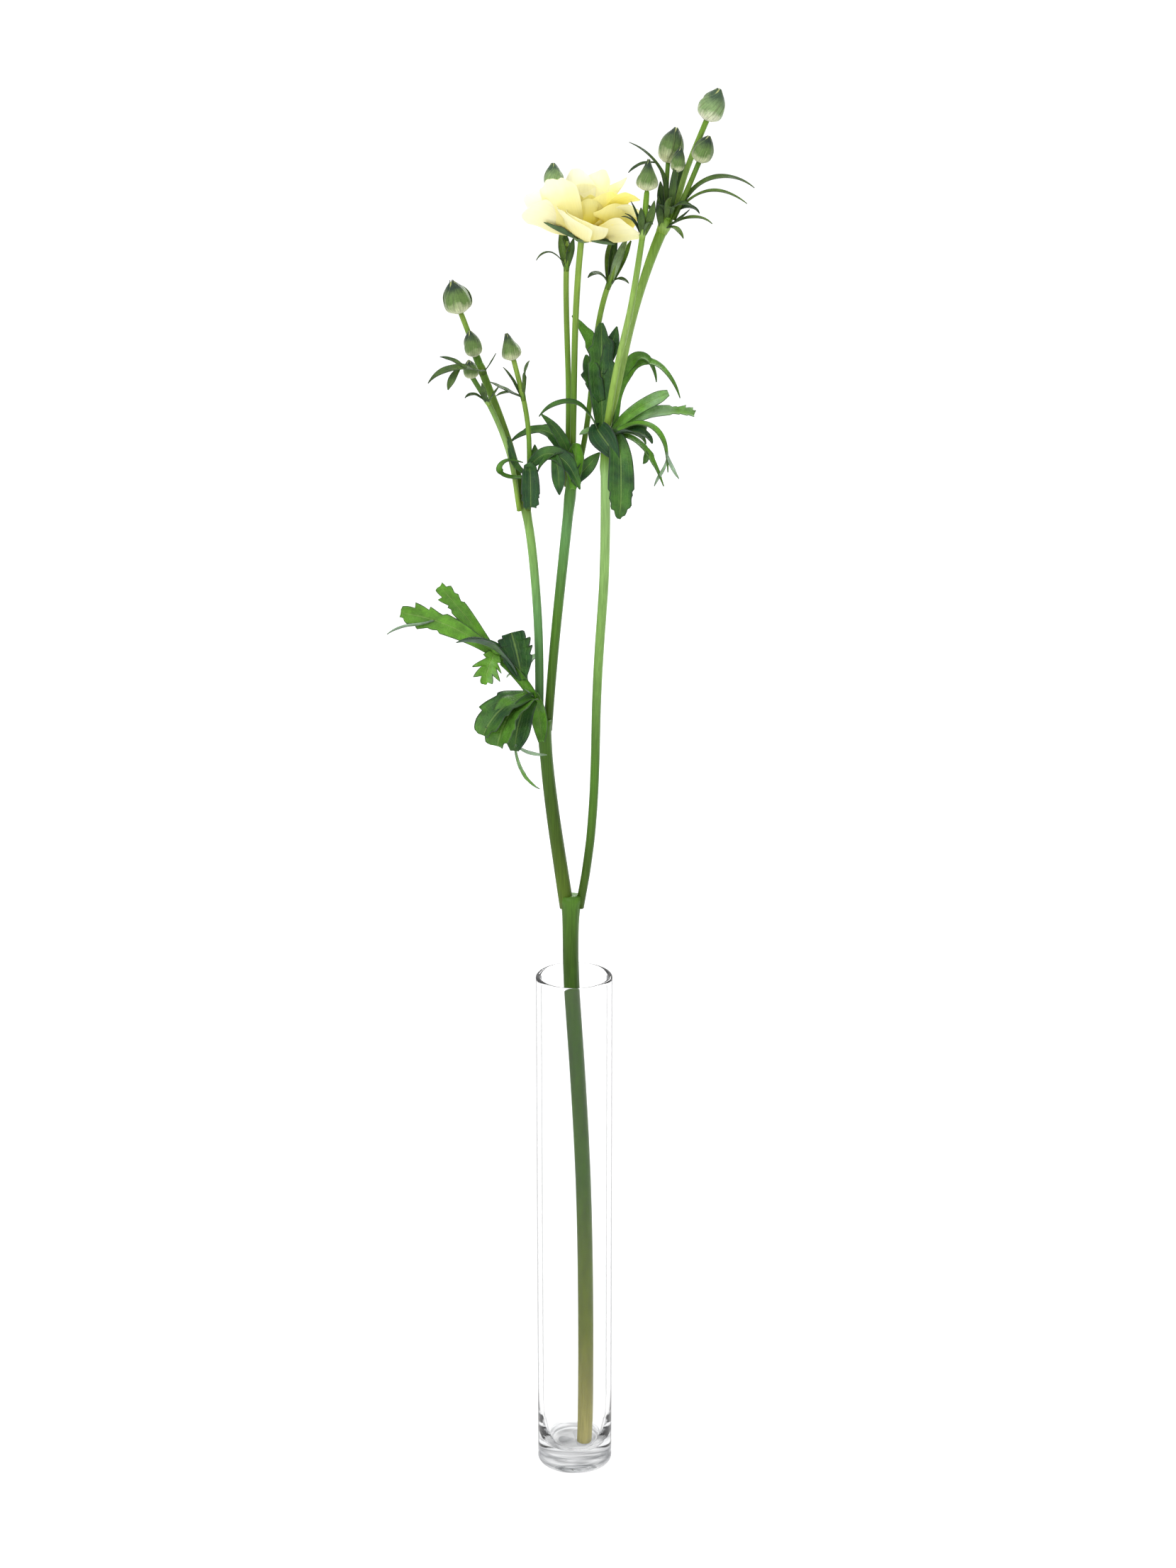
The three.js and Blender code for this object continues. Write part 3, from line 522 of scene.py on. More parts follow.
# %% Finished pieces
def finish_piece(name, shape, materials, replaced=(), thickness=0.0):
    """Makes a mesh a piece of the object: its finishes, its wall, and what it stands for."""
    data = bpy.data.meshes.new(name)
    shape.to_mesh(data)
    shape.free()
    for material in materials:
        data.materials.append(material)
    for polygon in data.polygons:
        polygon.use_smooth = True
    piece = bpy.data.objects.new(name, data)
    scene.collection.objects.link(piece)
    if thickness:
        wall = piece.modifiers.new("wall", "SOLIDIFY")
        wall.thickness = thickness * MM
        wall.offset = -1
        wall.material_offset = min(len(materials) - 1, 1)
    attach(piece, "root")
    if replaced:
        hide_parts(*replaced)
    print(name, len(data.polygons), "faces")
    return piece


# %% [markdown]
# ## Stems and stalks
#
# A stem is a long tube with shallow ribs. It could be a curve with a round bevel, but then its
# ribs and its swollen joints would have to be pushed in afterwards. Here a small ribbed ring is
# extruded from station to station along the middle of the solid stem, which is measured by slicing
# that stem at even heights. The tube runs a little way into its neighbours, so the plant is whole.

# %% Measure the solid stems
def merged_copy(node):
    copy = bmesh.new()
    copy.from_mesh(nodes[node].data)
    bmesh.ops.remove_doubles(copy, verts=copy.verts, dist=1e-6)
    return copy


ROUND_FROM_FLATS = 1.08  # a round stem stands out past the flats of an eight-sided solid one
SLICE_EVERY = 7 * MM


def middle_of_stem(node, stations):
    """(middle, radius) of a solid stem at evenly spaced heights."""
    low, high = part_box(node)
    whole = merged_copy(node)
    found = []
    for station in range(stations):
        height = low.z + (high.z - low.z) * (station + 0.5) / stations
        part = whole.copy()
        cut = bmesh.ops.bisect_plane(
            part, geom=part.verts[:] + part.edges[:] + part.faces[:],
            plane_co=(0, 0, height), plane_no=(0, 0, 1),
        )["geom_cut"]
        ring = [v.co.copy() for v in cut if isinstance(v, bmesh.types.BMVert)]
        part.free()
        left, right = min(v.x for v in ring), max(v.x for v in ring)
        front, back = min(v.y for v in ring), max(v.y for v in ring)
        middle = Vector(((left + right) / 2, (front + back) / 2, height))
        found.append((middle, ROUND_FROM_FLATS * min(right - left, back - front) / 2))
    whole.free()
    return found


stems = {}
for name in [n for n in nodes if n.endswith("_stem") or n.startswith("stalk_")]:
    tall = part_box(name)[1].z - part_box(name)[0].z
    stems[name] = middle_of_stem(name, max(4, round(tall / SLICE_EVERY)))
print(len(stems), "stems measured")


# %% Ribbed tubes
def stem_frame(middle, forward, radius):
    turn = UP.rotation_difference(forward).to_matrix().to_4x4()
    return Matrix.Translation(middle) @ turn @ Matrix.Diagonal((radius, radius, radius, 1))


def smooth_line(points, step):
    """A rounder line through the points, with a point about every step."""
    line = []
    ends = [points[0] * 2 - points[1]] + list(points) + [points[-1] * 2 - points[-2]]
    for a, b, c, d in zip(ends, ends[1:], ends[2:], ends[3:]):
        pieces = max(1, round((c - b).length / step))
        for piece in range(pieces):
            t = piece / pieces
            square, cube = (2 * a - 5 * b + 4 * c - d) * t ** 2, (3 * b - a - 3 * c + d) * t ** 3
            line.append((2 * b + (c - a) * t + square + cube) * 0.5)
    line.append(points[-1].copy())
    return line


def grow_tube(shape, points, radius_at, sides=20, ribs=7, rib_depth=0.035):
    """Extrudes a ribbed ring along a line. radius_at(part) gives its radius in metres."""
    along_mark = shape.verts.layers.float["along"]
    old = set(shape.verts)
    ring = bmesh.ops.create_circle(shape, cap_ends=True, radius=1, segments=sides)["verts"]
    for vertex in ring:
        angle = math.atan2(vertex.co.y, vertex.co.x)
        vertex.co *= 1 + rib_depth * math.cos(ribs * angle)
    last = len(points) - 1
    frames = []
    for station, middle in enumerate(points):
        forward = points[min(station + 1, last)] - points[max(station - 1, 0)]
        frames.append(stem_frame(middle, forward.normalized(), radius_at(station / last)))
    bmesh.ops.transform(shape, matrix=frames[0], verts=ring)
    top = [face for face in shape.faces if all(v in ring for v in face.verts)]
    bmesh.ops.reverse_faces(shape, faces=top)
    edges = list(top[0].edges)
    for station in range(1, last + 1):
        grown = bmesh.ops.extrude_edge_only(shape, edges=edges)["geom"]
        new = [g for g in grown if isinstance(g, bmesh.types.BMVert)]
        edges = [g for g in grown if isinstance(g, bmesh.types.BMEdge)]
        edges = [e for e in edges if all(v in new for v in e.verts)]
        move = frames[station] @ frames[station - 1].inverted()
        bmesh.ops.transform(shape, matrix=move, verts=new)
        for vertex in new:
            vertex[along_mark] = station / last
    bmesh.ops.edgeloop_fill(shape, edges=edges)
    made = [face for face in shape.faces if not any(v in old for v in face.verts)]
    bmesh.ops.recalc_face_normals(shape, faces=made)


# %% Stems
FOOT_INTO_PARENT = 3.5 * MM
TOP_INTO_NEXT = 1.6 * MM
ABOVE_BOWL = 0.6 * MM  # the main stem stands on the bowl of the vase's inner floor
STEM_STEP = 3 * MM
CLOSES_FROM, CLOSES_BY = 0.96, 0.65
STALK_FINISHES = {
    "stalk_left_tall": olive_stalk, "stalk_left_low": pale_stalk, "stalk_right_front": bright_stalk,
    "stalk_right_tall": bright_stalk, "stalk_bud_1": bright_stalk, "stalk_bud_2": olive_stalk,
    "stalk_bud_3": olive_stalk, "stalk_bud_4": olive_stalk, "stalk_bud_5": olive_stalk,
}


def swelling(part, place, spread, amount):
    """A joint where leaves grow: the stem is thicker round this part of its length."""
    return 1 + amount * math.exp(-((part - place) / spread) ** 2)


SWELLINGS = {
    "right_branch_stem": (0.915, 0.012, 0.22),
    "left_stem": (0.93, 0.03, 0.12),
    "middle_stem": (0.9, 0.04, 0.14),
    "main_stem": (0.985, 0.02, 0.08),
}
ENDS_IN_BRACTS = ("stalk_behind", "stalk_shaded", "stalk_right_tall", "stalk_right_front")


def make_stem(name):
    measured = stems[name]
    middles = [middle for middle, radius in measured]
    half_station = (middles[1] - middles[0]) / 2
    foot = middles[0] - half_station - half_station.normalized() * FOOT_INTO_PARENT
    half_station = (middles[-1] - middles[-2]) / 2
    top = middles[-1] + half_station + half_station.normalized() * TOP_INTO_NEXT
    if name == "main_stem":
        foot.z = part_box(name)[0].z + ABOVE_BOWL
    line = smooth_line([foot] + middles + [top], STEM_STEP)
    radii = [radius for middle, radius in measured]
    bulge = SWELLINGS.get(name, (0.5, 1, 0))
    closing = CLOSES_BY if name in ENDS_IN_BRACTS else 0
    shape = start_part()
    grow_tube(shape, line, lambda part: (
        part_way(radii, part) * swelling(part, *bulge)
        * (1 - closing * max(0, part - CLOSES_FROM) / (1 - CLOSES_FROM))
    ))
    finish = stem_finishes.get(name) or STALK_FINISHES.get(name, young_stalk)
    finish_piece(name + "_ribbed", shape, [finish], [name])


for name in stems:
    make_stem(name)


# %% [markdown]
# ## Leaves
#
# A ranunculus leaf is cut into long lobes, and each lobe ends in a few forward-pointing teeth.
# The leaves clasp the stem at its joints with a short broad foot. Each leaf here is one piece: its
# lobes are blades that branch off one another, as the real lobes do, and a thin wall closes them.

# %% Where leaves grow
def near_top(stem, right, back, up):
    """A place near the top of a solid stem: so many millimetres right, back and up from it."""
    middles = [middle for middle, radius in stems[stem]]
    top = middles[-1].copy()
    top.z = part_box(stem)[1].z
    return top + Vector((right, back, up)) * MM


LEAF_WALL = 0.28


# The fifth number of each lobe is its tone, mostly painted light: higher where a lobe is lit through from
# behind or faces the sky, below 0 painted shade.
def make_leaf(name, foot, *shoots):
    shape = start_part()
    for shoot in shoots:
        grow(shape, foot, **shoot)
    finish_piece(name + "_lobes", shape, [leaf_upper, leaf_under], [name], LEAF_WALL)


# %% Low leaf
make_leaf(
    "leaf_low", near_top("left_branch_stem", -1, -3.4, -6),
    lobe([215, 200], [88, 72], 20, 7.4, 0.85, base=0.35, tip=0.62, cup=1.2, branches=[
        lobe([190], [62, 42], 20, 4.4, 0.6, at=0.88, base=0.9, tip=0.9, cup=1.2, branches=[
            lobe([178], [44, 28, 6], 46, 8.8, 0.9, at=0.85, widest=0.8, tip=0.35, base=0.3, slow=1.9,
                teeth=3, tooth_start=0.66, tooth_depth=0.5, branches=[
                strap([200, 190], [-14, -2, -34], 19, 1.6, 1.9, at=0.72),
                lobe([163], [50, 46], 35, 6.8, 0.75, at=0.1, widest=0.8, tip=0.4, base=0.3, slow=1.8,
                    teeth=2.6, tooth_start=0.7, tooth_depth=0.6),
                lobe([230], [-45, -82], 12.5, 9, 1.0, at=0.15, widest=0.4, base=0.5, tip=0.05, teeth=3,
                    tooth_start=0.2, tooth_depth=0.9),
            ]),
            strap([200], [64, 34, -6], 30, 6.6, 0.05, at=0.6, cup=1.2, twist=[0, 30]),
            lobe([176], [82, 74], 19, 12.6, 0.1, at=0.45, widest=0.72, tip=0.6, base=0.2, teeth=3,
                tooth_start=0.5, fold=0.3),
        ]),
        strap([215], [15, -25, -65], 28, 13, 0.2, at=0.9, widest=0.62, tip=0.4, teeth=2),
        lobe([228], [15, -40, -75], 28, 13.5, 0.55, at=0.9, widest=0.66, tip=0.5,
            faces=Vector((-0.5, -0.8, 0.6)), teeth=2, tooth_start=0.6, wave=0.15),
        lobe([238], [0, -60, -82], 24.5, 10, 0.05, at=0.9, widest=0.66, tip=0.3, branches=[
            lobe([320, 365], [-84, -62, -30], 20, 1.2, 1.2, at=0.92, teeth=2),
            lobe([345, 365], [-40, -15, 0], 13, 1.2, 1.6, at=0.9),
        ]),
        strap([190, 100, 60, 30], [50, 35, 20, 10], 26, 5, 1.4, at=0.95, branches=[
            strap([130], [10, -45], 10, 3, 1.4, at=0.4),
        ]),
    ]),
)

# %% Left and middle leaves
make_leaf(
    "leaf_left", near_top("left_stem", 0.6, -3.2, -2),
    lobe([290], [86, 80], 16, 5, 0.2, base=0.3, tip=0.7, cup=0.9, branches=[
        lobe([275], [60, 10, -50, -80, -88, -88], 21, 7, 0.0, at=0.9, base=0.35, tip=0.6, widest=0.75,
            teeth=2, tooth_start=0.75),
        strap([195, 178], [10, 2, 20, 120, 186, 192], 23, 2.6, 0.5, at=0.75, base=0.8),
        lobe([190, 165], [20, 72, 84], 17, 2.4, 0.2, at=0.85),
        lobe([40, 100], [45, 75], 11, 3.4, 0.2, at=0.9),
        lobe([340], [60, 30, -30, -60, -70], 29, 6.4, 0.1, at=1, faces=Vector((0.4, -1, 0.6)), teeth=2,
            tooth_start=0.7, branches=[
            lobe([290], [-30, -75, -88], 16, 5, 0.1, at=0.42),
        ]),
    ]),
)
make_leaf(
    "leaf_middle", near_top("middle_stem", 0.8, -2.5, -3),
    lobe([300], [82, 80], 18, 8.4, 0.9, base=0.3, tip=0.4, widest=0.7, cup=1.3, branches=[
        lobe([190, 160, 168, 172], [70, 62, -10, -45], 35, 5.8, 0.25, at=0.35, faces=FACING_LEFT,
            teeth=2, tooth_start=0.6),
        lobe([215, 190], [78, 62, 40], 27, 4, 0.3, at=0.35),
        lobe([250, 205, 190], [62, 30, -30, -70], 22, 4.6, 0.1, at=0.5, faces=FACING_LEFT),
        lobe([330, 380], [55, 45], 16, 5.4, 0.15, at=0.1),
    ]),
)

# %% Leaves of the right joint
make_leaf(
    "leaf_right_erect", near_top("right_branch_stem", -1.2, 2.5, -2),
    lobe([95], [76, 84, 89, 86], 41, 10.4, 0.18, widest=0.65, base=0.3, tip=0.1, teeth=1.6,
        tooth_start=0.66, tooth_depth=0.35, branches=[
        lobe([15], [66, 76], 18, 5.4, 0.15, at=0.55),
        lobe([168], [66, 76], 18, 7, 0.12, at=0.3, teeth=1.5),
    ]),
    lobe([84, 90, 150, 175], [45, 60, 70, 42], 49, 5, 0.7, widest=0.7, teeth=1.5, tooth_start=0.6),
)
make_leaf(
    "leaf_right_spreading", near_top("right_branch_stem", 2.0, -0.4, -2),
    lobe([5], [62, 40, 28, 22], 27, 4.8, 1.1, widest=0.8, tip=0.45, base=0.5),
    lobe([6, -2], [38, 26, 4, -14], 33, 6.8, 1.15, widest=0.8, tip=0.65, faces=FACING_RIGHT, teeth=3,
        tooth_start=0.74, tooth_depth=0.5),
    lobe([50, 35, 0, -8], [62, 86, 45, -45, -70], 52, 4.4, 0.85, widest=0.7, faces=FACING_RIGHT,
        branches=[
        lobe([20, 0], [80, 50, -60, -80], 24, 4.6, 0.6, at=0.4, faces=FACING_RIGHT),
        lobe([170], [-40, -72], 12, 4.2, 0.5, at=0.55),
    ]),
)
make_leaf(
    "leaf_right_hanging", near_top("right_branch_stem", 1.6, -2, -3),
    lobe([292, 290, 270, 185], [45, -50, -86, -88, -80], 37, 10, 0.18, widest=0.7, tip=0.1, teeth=3,
        tooth_start=0.72, tooth_depth=0.3, branches=[
        lobe([330, 342], [38, 0, -55], 18, 9, 0.0, at=0.08, faces=FACING_RIGHT, widest=0.5, teeth=1.5,
            tooth_start=0.5),
        lobe([345, 330], [30, 0, -60], 15, 5, 0.8, at=0.08, faces=FACING_RIGHT),
        lobe([345], [48, 20, -35, -80, -86], 35, 4.2, 0.9, at=0.08, widest=0.4, faces=FACING_RIGHT,
            branches=[
            lobe([330], [-70, -50], 11, 1.2, 1.5, at=0.78),
            lobe([230, 190], [-70, -50, -70], 11, 1.1, 1.5, at=0.86),
        ]),
        lobe([338], [20, -35, -60, -66], 29, 4.6, 0.8, at=0.1, widest=0.35, faces=FACING_RIGHT, teeth=2,
            branches=[
            lobe([300, 200], [-60, -70, -30], 5, 2, 0.2, at=0.5),
        ]),
    ]),
)
make_leaf(
    "leaf_right_front", near_top("right_branch_stem", -3, -2, 1),
    lobe([265, 320, 345], [10, -32, -52, -58], 18.5, 9.4, -0.3, widest=0.4, base=0.5),
    strap([190], [-10, -20], 7, 3.6, 1.3),
    strap([232, 198, 186], [60, 46, -8, -52], 30, 3.6, 0.3),
)


# %% [markdown]
# ## Bracts
#
# Under each bud sits a small clasping leaf cut into narrow straps. It wraps its stalk in a short
# sleeve, and its straps curl outward. The sleeve is a tube a little wider than the stalk and in the
# stalk's own finish, and each strap starts from inside it.

# %% Bract finishes
bract_upper = leaf_finish(
    "bract upper side", tint(42, 70, 42), tint(116, 148, 62), tint(160, 186, 140),
    tint(140, 166, 100), tint(50, 44, 58), 0.2, 0.45,
)
bract_under = leaf_finish(
    "bract underside", tint(74, 104, 66), tint(130, 160, 92), tint(176, 196, 160),
    tint(164, 184, 136), tint(84, 78, 90), 0.2, 0.6,
)


# %% Bracts
BRACT_WALL = 0.22


def make_bracts(name, stem, part, height, *shoots):
    middles = [middle for middle, radius in stems[stem]]
    centre, forward = on_line(middles, part)
    radius = part_way([radius for middle, radius in stems[stem]], part)
    shape = start_part()
    sleeve = [centre + forward * (height * MM * step / 4) for step in range(-3, 7)]
    grow_tube(shape, sleeve, lambda p: radius * (1.03 + 0.16 * math.sin(math.pi * p) ** 2),
              sides=20, ribs=5, rib_depth=0.04)
    for face in shape.faces:
        face.material_index = 2
    for shoot in shoots:
        shoot = dict(shoot)
        out = direction(shoot.pop("side", shoot["heading"][0]), 0)
        up = shoot.pop("up", 0)
        grow(shape, centre + forward * up * MM + out * radius * 0.75, **shoot)
    finishes = [bract_upper, bract_under, STALK_FINISHES.get(stem, young_stalk)]
    finish_piece(name + "_straps", shape, finishes, [name], BRACT_WALL)


make_bracts(
    "bracts_crown", "stalk_right_tall", 0.95, 2.4,
    strap([200], [88, 84, 60, 40, 24], 32, 2.6, up=6, side=235, branches=[
        strap([190], [12, -20, -45], 11, 1.8, at=0.6),
    ]),
    strap([4], [52, 50, 20, -12, -38], 35, 3.2, 0.4, up=6),
    strap([352], [44, 38, 10, -20, -36], 30, 2.2, 0.7, up=6),
    strap([300, 345], [50, 20, -35], 13, 3, 0.1, up=6, side=250),
    strap([238], [62, 40, -10], 9, 2.4, 0.1, up=5),
    lobe([290, 310], [76, 84], 19, 2.6, 0.2, up=5, side=285),
    lobe([60, 30], [58, 76], 20, 3.6, 0.2, up=5, side=70),
    lobe([150], [80, 86], 13, 3.2, 0.1, up=4),
    strap([190, 150], [55, 20, 60], 9, 2.2, 0.1, up=4, side=200),
    lobe([262, 300], [40, 70, 20], 11, 2.4, 0.5, up=4, side=260),
    strap([280, 250], [66, 30, -30], 9, 2.2, 0.3, up=5, side=300),
    strap([350], [40, 10, -60], 11, 2.6, 0.0, up=6, side=320),
    strap([345], [40, 22, 0, -40], 19, 2.2, 0.9, side=300),
    strap([330, 350], [30, 36, 50], 12, 2, 0.1, side=290),
    strap([330], [35, -30, -65], 9, 2.2, 0.9, side=310),
    lobe([250, 225], [74, 84], 12, 2.6, 0.4, side=240),
)
make_bracts(
    "bracts_front_stalk", "stalk_right_front", 0.85, 2.4,
    lobe([255], [78, 84], 10, 2.6, 0.3),
    strap([225, 200], [80, 62], 13, 1.6, 0.1),
    lobe([330], [66, 78], 13, 2.8, 0.5),
    strap([205], [70, 50, 0], 11, 1.3, 0.1),
    strap([190], [76, 60, 20], 10, 1.2, 0.1),
    strap([300], [70, 50, -30], 9, 2, 0.1),
)
make_bracts(
    "bracts_behind_stalk", "stalk_behind", 0.95, 2.4,
    lobe([225], [80, 74], 12, 3, 0.5, cup=1.1),
    lobe([310], [76, 68], 11, 3, 0.2, cup=1.1),
    lobe([100], [84, 86], 12, 3.6, cup=0.9),
    strap([225, 205], [62, 25, -60], 16, 1.2, base=0.9),
)
make_bracts(
    "bracts_shaded_stalk", "stalk_shaded", 0.86, 3,
    strap([215], [72, 20, -40], 11, 3),
    strap([325], [52, 5, -40], 9, 2),
    lobe([60, 30], [84, 74], 18, 3, 0.1, cup=1.2),
    lobe([320, 355], [74, 66], 18, 3.6, 1.5, cup=1.2),
    lobe([20], [64, 62], 17, 3.2, 0.9, cup=1.2),
    lobe([100, 60], [76], 16, 3.6, 0.9, cup=1.2),
)
make_bracts(
    "bracts_tall_stalk", "stalk_left_tall", 0.96, 2,
    strap([270, 215, 185], [12, 16, -5, -52], 30, 4.8, branches=[
        strap([160], [35, 5], 11, 2.2, at=0.45),
        lobe([215], [-40, -72], 9, 2.6, at=0.55),
    ]),
    strap([325], [45, 62], 9, 1.2),
)
make_bracts(
    "bracts_low_stalk", "stalk_left_low", 0.86, 2,
    strap([210], [48, 25, -40], 10, 2.2),
    strap([300, 360], [45, 60], 8, 1.8),
    lobe([255], [45, 62], 10, 1.8),
)
make_bracts(
    "bracts_inner_stalk", "stalk_left_inner", 0.78, 2,
    strap([205], [24, 32], 14, 3),
    strap([222], [35, 10, -20], 13, 1.8),
    strap([190], [70, 50], 13, 1.6),
    strap([290], [80, 76, 25], 17, 1.8),
)


# %% [markdown]
# ## Buds
#
# A closed bud is an egg of petals wrapped in five sepals. The sepals overlap, have thin pale
# margins, and twist a little to a point. The egg is spun from a short profile. Each sepal is a
# grid laid on the egg, every other one a hair further out than its neighbours.

# %% Bud finishes
def sepal_finish(name, base, body, tip):
    finish = Finish(name)
    streaks = finish.streaks(8, 1.92, 4)
    patches = finish.grain(0.0035)
    grain = finish.grain(0.0006)
    colour = finish.ramp(finish.sum("ADD", finish.spread(patches, -0.1, 0.1), finish.own("along")), [
        (0.08, base), (0.36, body), (0.55, body), (0.82, tip),
    ])
    colour = finish.shade(colour, finish.spread(streaks, 0.55, 1.3))
    colour = finish.shade(colour, finish.spread(grain, 0.9, 1.1))
    colour = finish.margin(colour, 0.9, 0.99, 0.45, tint(164, 182, 120))
    return finish.surface(
        colour, 0.55, finish.bump(finish.sum("ADD", streaks, grain), 0.0001), through=0.15,
        Sheen_Weight=0.25, Specular_IOR_Level=0.35,
    )


sepal_green = sepal_finish("bud sepal", tint(216, 222, 176), tint(100, 130, 66), tint(40, 62, 44))
sepal_light = sepal_finish("pale bud sepal", tint(236, 238, 206), tint(134, 164, 106), tint(72, 98, 70))
bud_heart = Finish("bud heart")
bud_petal = bud_heart.surface(
    bud_heart.ramp(bud_heart.grain(0.002), [(0.3, tint(176, 188, 98)), (0.7, tint(214, 214, 150))]),
    0.6, through=0.2,
)


# %% Buds
def bud_axis(node):
    """Foot and tip of a solid bud: its two poles, where the most edges meet."""
    whole = merged_copy(node)
    poles = sorted(whole.verts, key=lambda v: -len(v.link_edges))[:2]
    foot, tip = sorted((v.co.copy() for v in poles), key=lambda co: co.z)
    whole.free()
    return foot, tip


ROUND_BUD = [0.34, 0.8, 0.96, 1.0, 0.99, 0.95, 0.88, 0.77, 0.6, 0.38, 0.12]
PEAR_BUD = [0.34, 0.86, 1.0, 0.97, 0.86, 0.7, 0.54, 0.4, 0.29, 0.2, 0.1]


def bud_radius(part, pear):
    """The bud's outline, between a round one, pear 0, and one with a long neck, pear 1."""
    return (1 - pear) * part_way(ROUND_BUD, part) + pear * part_way(PEAR_BUD, part)


def spin_profile(shape, profile, steps):
    """Spins a row of points round the upright axis into a closed skin."""
    edges = [shape.edges.new(pair) for pair in zip(profile, profile[1:])]
    bmesh.ops.spin(
        shape, geom=profile + edges, cent=(0, 0, 0), axis=(0, 0, 1), dvec=(0, 0, 0),
        angle=2 * math.pi, steps=steps, use_merge=True,
    )
    bmesh.ops.remove_doubles(shape, verts=shape.verts, dist=1e-6)
    bmesh.ops.recalc_face_normals(shape, faces=shape.faces)


LEVEL = Vector((1, 1, 0))  # leaves out the height
SEPALS = 5
SEPAL_WALL = 0.15
PROFILE_STEPS = 20
EGG_STEPS = 28


def make_bud(name, twist, spread=0.0, finish=sepal_green, tips=0.0, turn=0.0, pear=0.3):
    foot, tip = bud_axis(name)
    length = (tip - foot).length
    low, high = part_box(name)
    radius = min(high.x - low.x, high.y - low.y) / 2
    stand = Matrix.Translation(foot) @ UP.rotation_difference(tip - foot).to_matrix().to_4x4()
    shape = start_part()
    along_mark, across_mark, tone_and_painted_light_mark = (shape.verts.layers.float[mark] for mark in MARKS)
    profile = []
    for step in range(PROFILE_STEPS + 1):
        part = step / PROFILE_STEPS
        away = 0.93 * radius * bud_radius(part, pear)
        profile.append(shape.verts.new((away, 0, length * part)))
    profile[-1].co.x = 0
    profile.insert(0, shape.verts.new((0, 0, 0)))
    spin_profile(shape, profile, EGG_STEPS)
    for face in shape.faces:
        face.material_index = 1
    for index in range(SEPALS):
        heading = 2 * math.pi * index / SEPALS + turn
        proud = 1 + 0.035 * (index % 2) + spread * (index % 3 == 0)
        grid = bmesh.ops.create_grid(shape, x_segments=12, y_segments=24, size=1)["verts"]
        for vertex in grid:
            across = vertex.co.x
            along = (vertex.co.y + 1) / 2
            part = along * (1 + tips * (1 - abs(across)))
            broad = 0.85 * math.sin(math.pi * min(0.2 + 0.8 * along, 1)) ** 0.6 + 0.12
            angle = heading + across * broad + math.radians(twist) * along ** 2
            bend = 0.03 * math.sin(9 * along + 2 * index) * across
            edge_lift = 0.05 * abs(across) ** 3 + 0.03 * math.cos(across * 3) * along + bend
            away = radius * (bud_radius(min(part, 1), pear) * proud + edge_lift)
            vertex.co = Vector((away * math.cos(angle), away * math.sin(angle), length * part))
            vertex[along_mark] = along
            vertex[across_mark] = across
        faces = list({face for vertex in grid for face in vertex.link_faces})
        bmesh.ops.recalc_face_normals(shape, faces=faces)
        if sum(face.normal.dot(face.calc_center_median() * LEVEL) for face in faces) < 0:
            bmesh.ops.reverse_faces(shape, faces=faces)
    bmesh.ops.transform(shape, matrix=stand, verts=shape.verts)
    piece = finish_piece(name + "_sepals", shape, [finish, bud_petal], [name])
    wall = piece.modifiers.new("wall", "SOLIDIFY")
    wall.thickness = SEPAL_WALL * MM
    wall.offset = -1


BUD_FORMS = {
    "bud_1": dict(finish=sepal_light, twist=90, pear=0.1),
    "bud_2": dict(twist=20, spread=0.1, pear=0.0),
    "bud_3": dict(twist=60, turn=0.4, pear=0.3),
    "bud_4": dict(twist=20, turn=0.8, pear=0.0),
    "bud_5": dict(twist=70, turn=0.2, pear=0.95),
    "bud_6": dict(finish=sepal_light, twist=80, turn=0.6),
    "bud_7": dict(twist=15, spread=0.08, turn=1.0, tips=0.04, pear=0.0),
    "bud_8": dict(twist=60, turn=0.5, pear=0.1),
    "bud_9": dict(twist=60, turn=0.1, pear=0.1),
    "bud_10": dict(twist=70, turn=0.9, pear=0.75),
}
for name, form in BUD_FORMS.items():
    make_bud(name, **form)


# %% [markdown]
# ## The flower
#
# The open ranunculus is a loose bowl of silky petals. The outer ones spread nearly level, the ones
# at the back and the left stand up, and those in front roll in over the centre. No ring of equal
# petals gives that careless look, so each petal is grown on its own: where it points, how it rises
# along its length, how broad and how cupped it is.

# %% Petal finish
def petal_finish(name, base, body, rim, through):
    finish = Finish(name)
    silk = finish.streaks(16, 1.6, 3)
    soft = finish.sum("MULTIPLY_ADD", finish.grain(0.003), 0.24, finish.own("along"))
    colour = finish.ramp(soft, [(0.14, base), (0.5, body), (1.0, rim)])
    colour = finish.shade(colour, finish.spread(silk, 0.97, 1.02))
    return finish.surface(
        colour, 0.5, finish.bump(silk, 0.00015),
        through=through, Sheen_Weight=0.15, Specular_IOR_Level=0.3,
    )


petal_white = petal_finish(
    "near white petal", tint(246, 238, 160), tint(253, 250, 216), tint(254, 253, 236), 0.55)
petal_cream = petal_finish(
    "cream petal", tint(243, 230, 104), tint(252, 246, 180), tint(254, 252, 222), 0.5)
petal_gold = petal_finish(
    "golden petal", tint(240, 216, 48), tint(250, 238, 102), tint(253, 248, 180), 0.5)
print("three petal finishes")

# %% Petals
flower_foot, flower_top = bud_axis("flower_centre")
flower_way = (flower_top - flower_foot).normalized()
flower_seat = flower_foot - flower_way * (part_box("flower_centre")[0].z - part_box("calyx")[0].z)
print("the flower stands at", flower_seat)
PETAL_WALL = 0.18


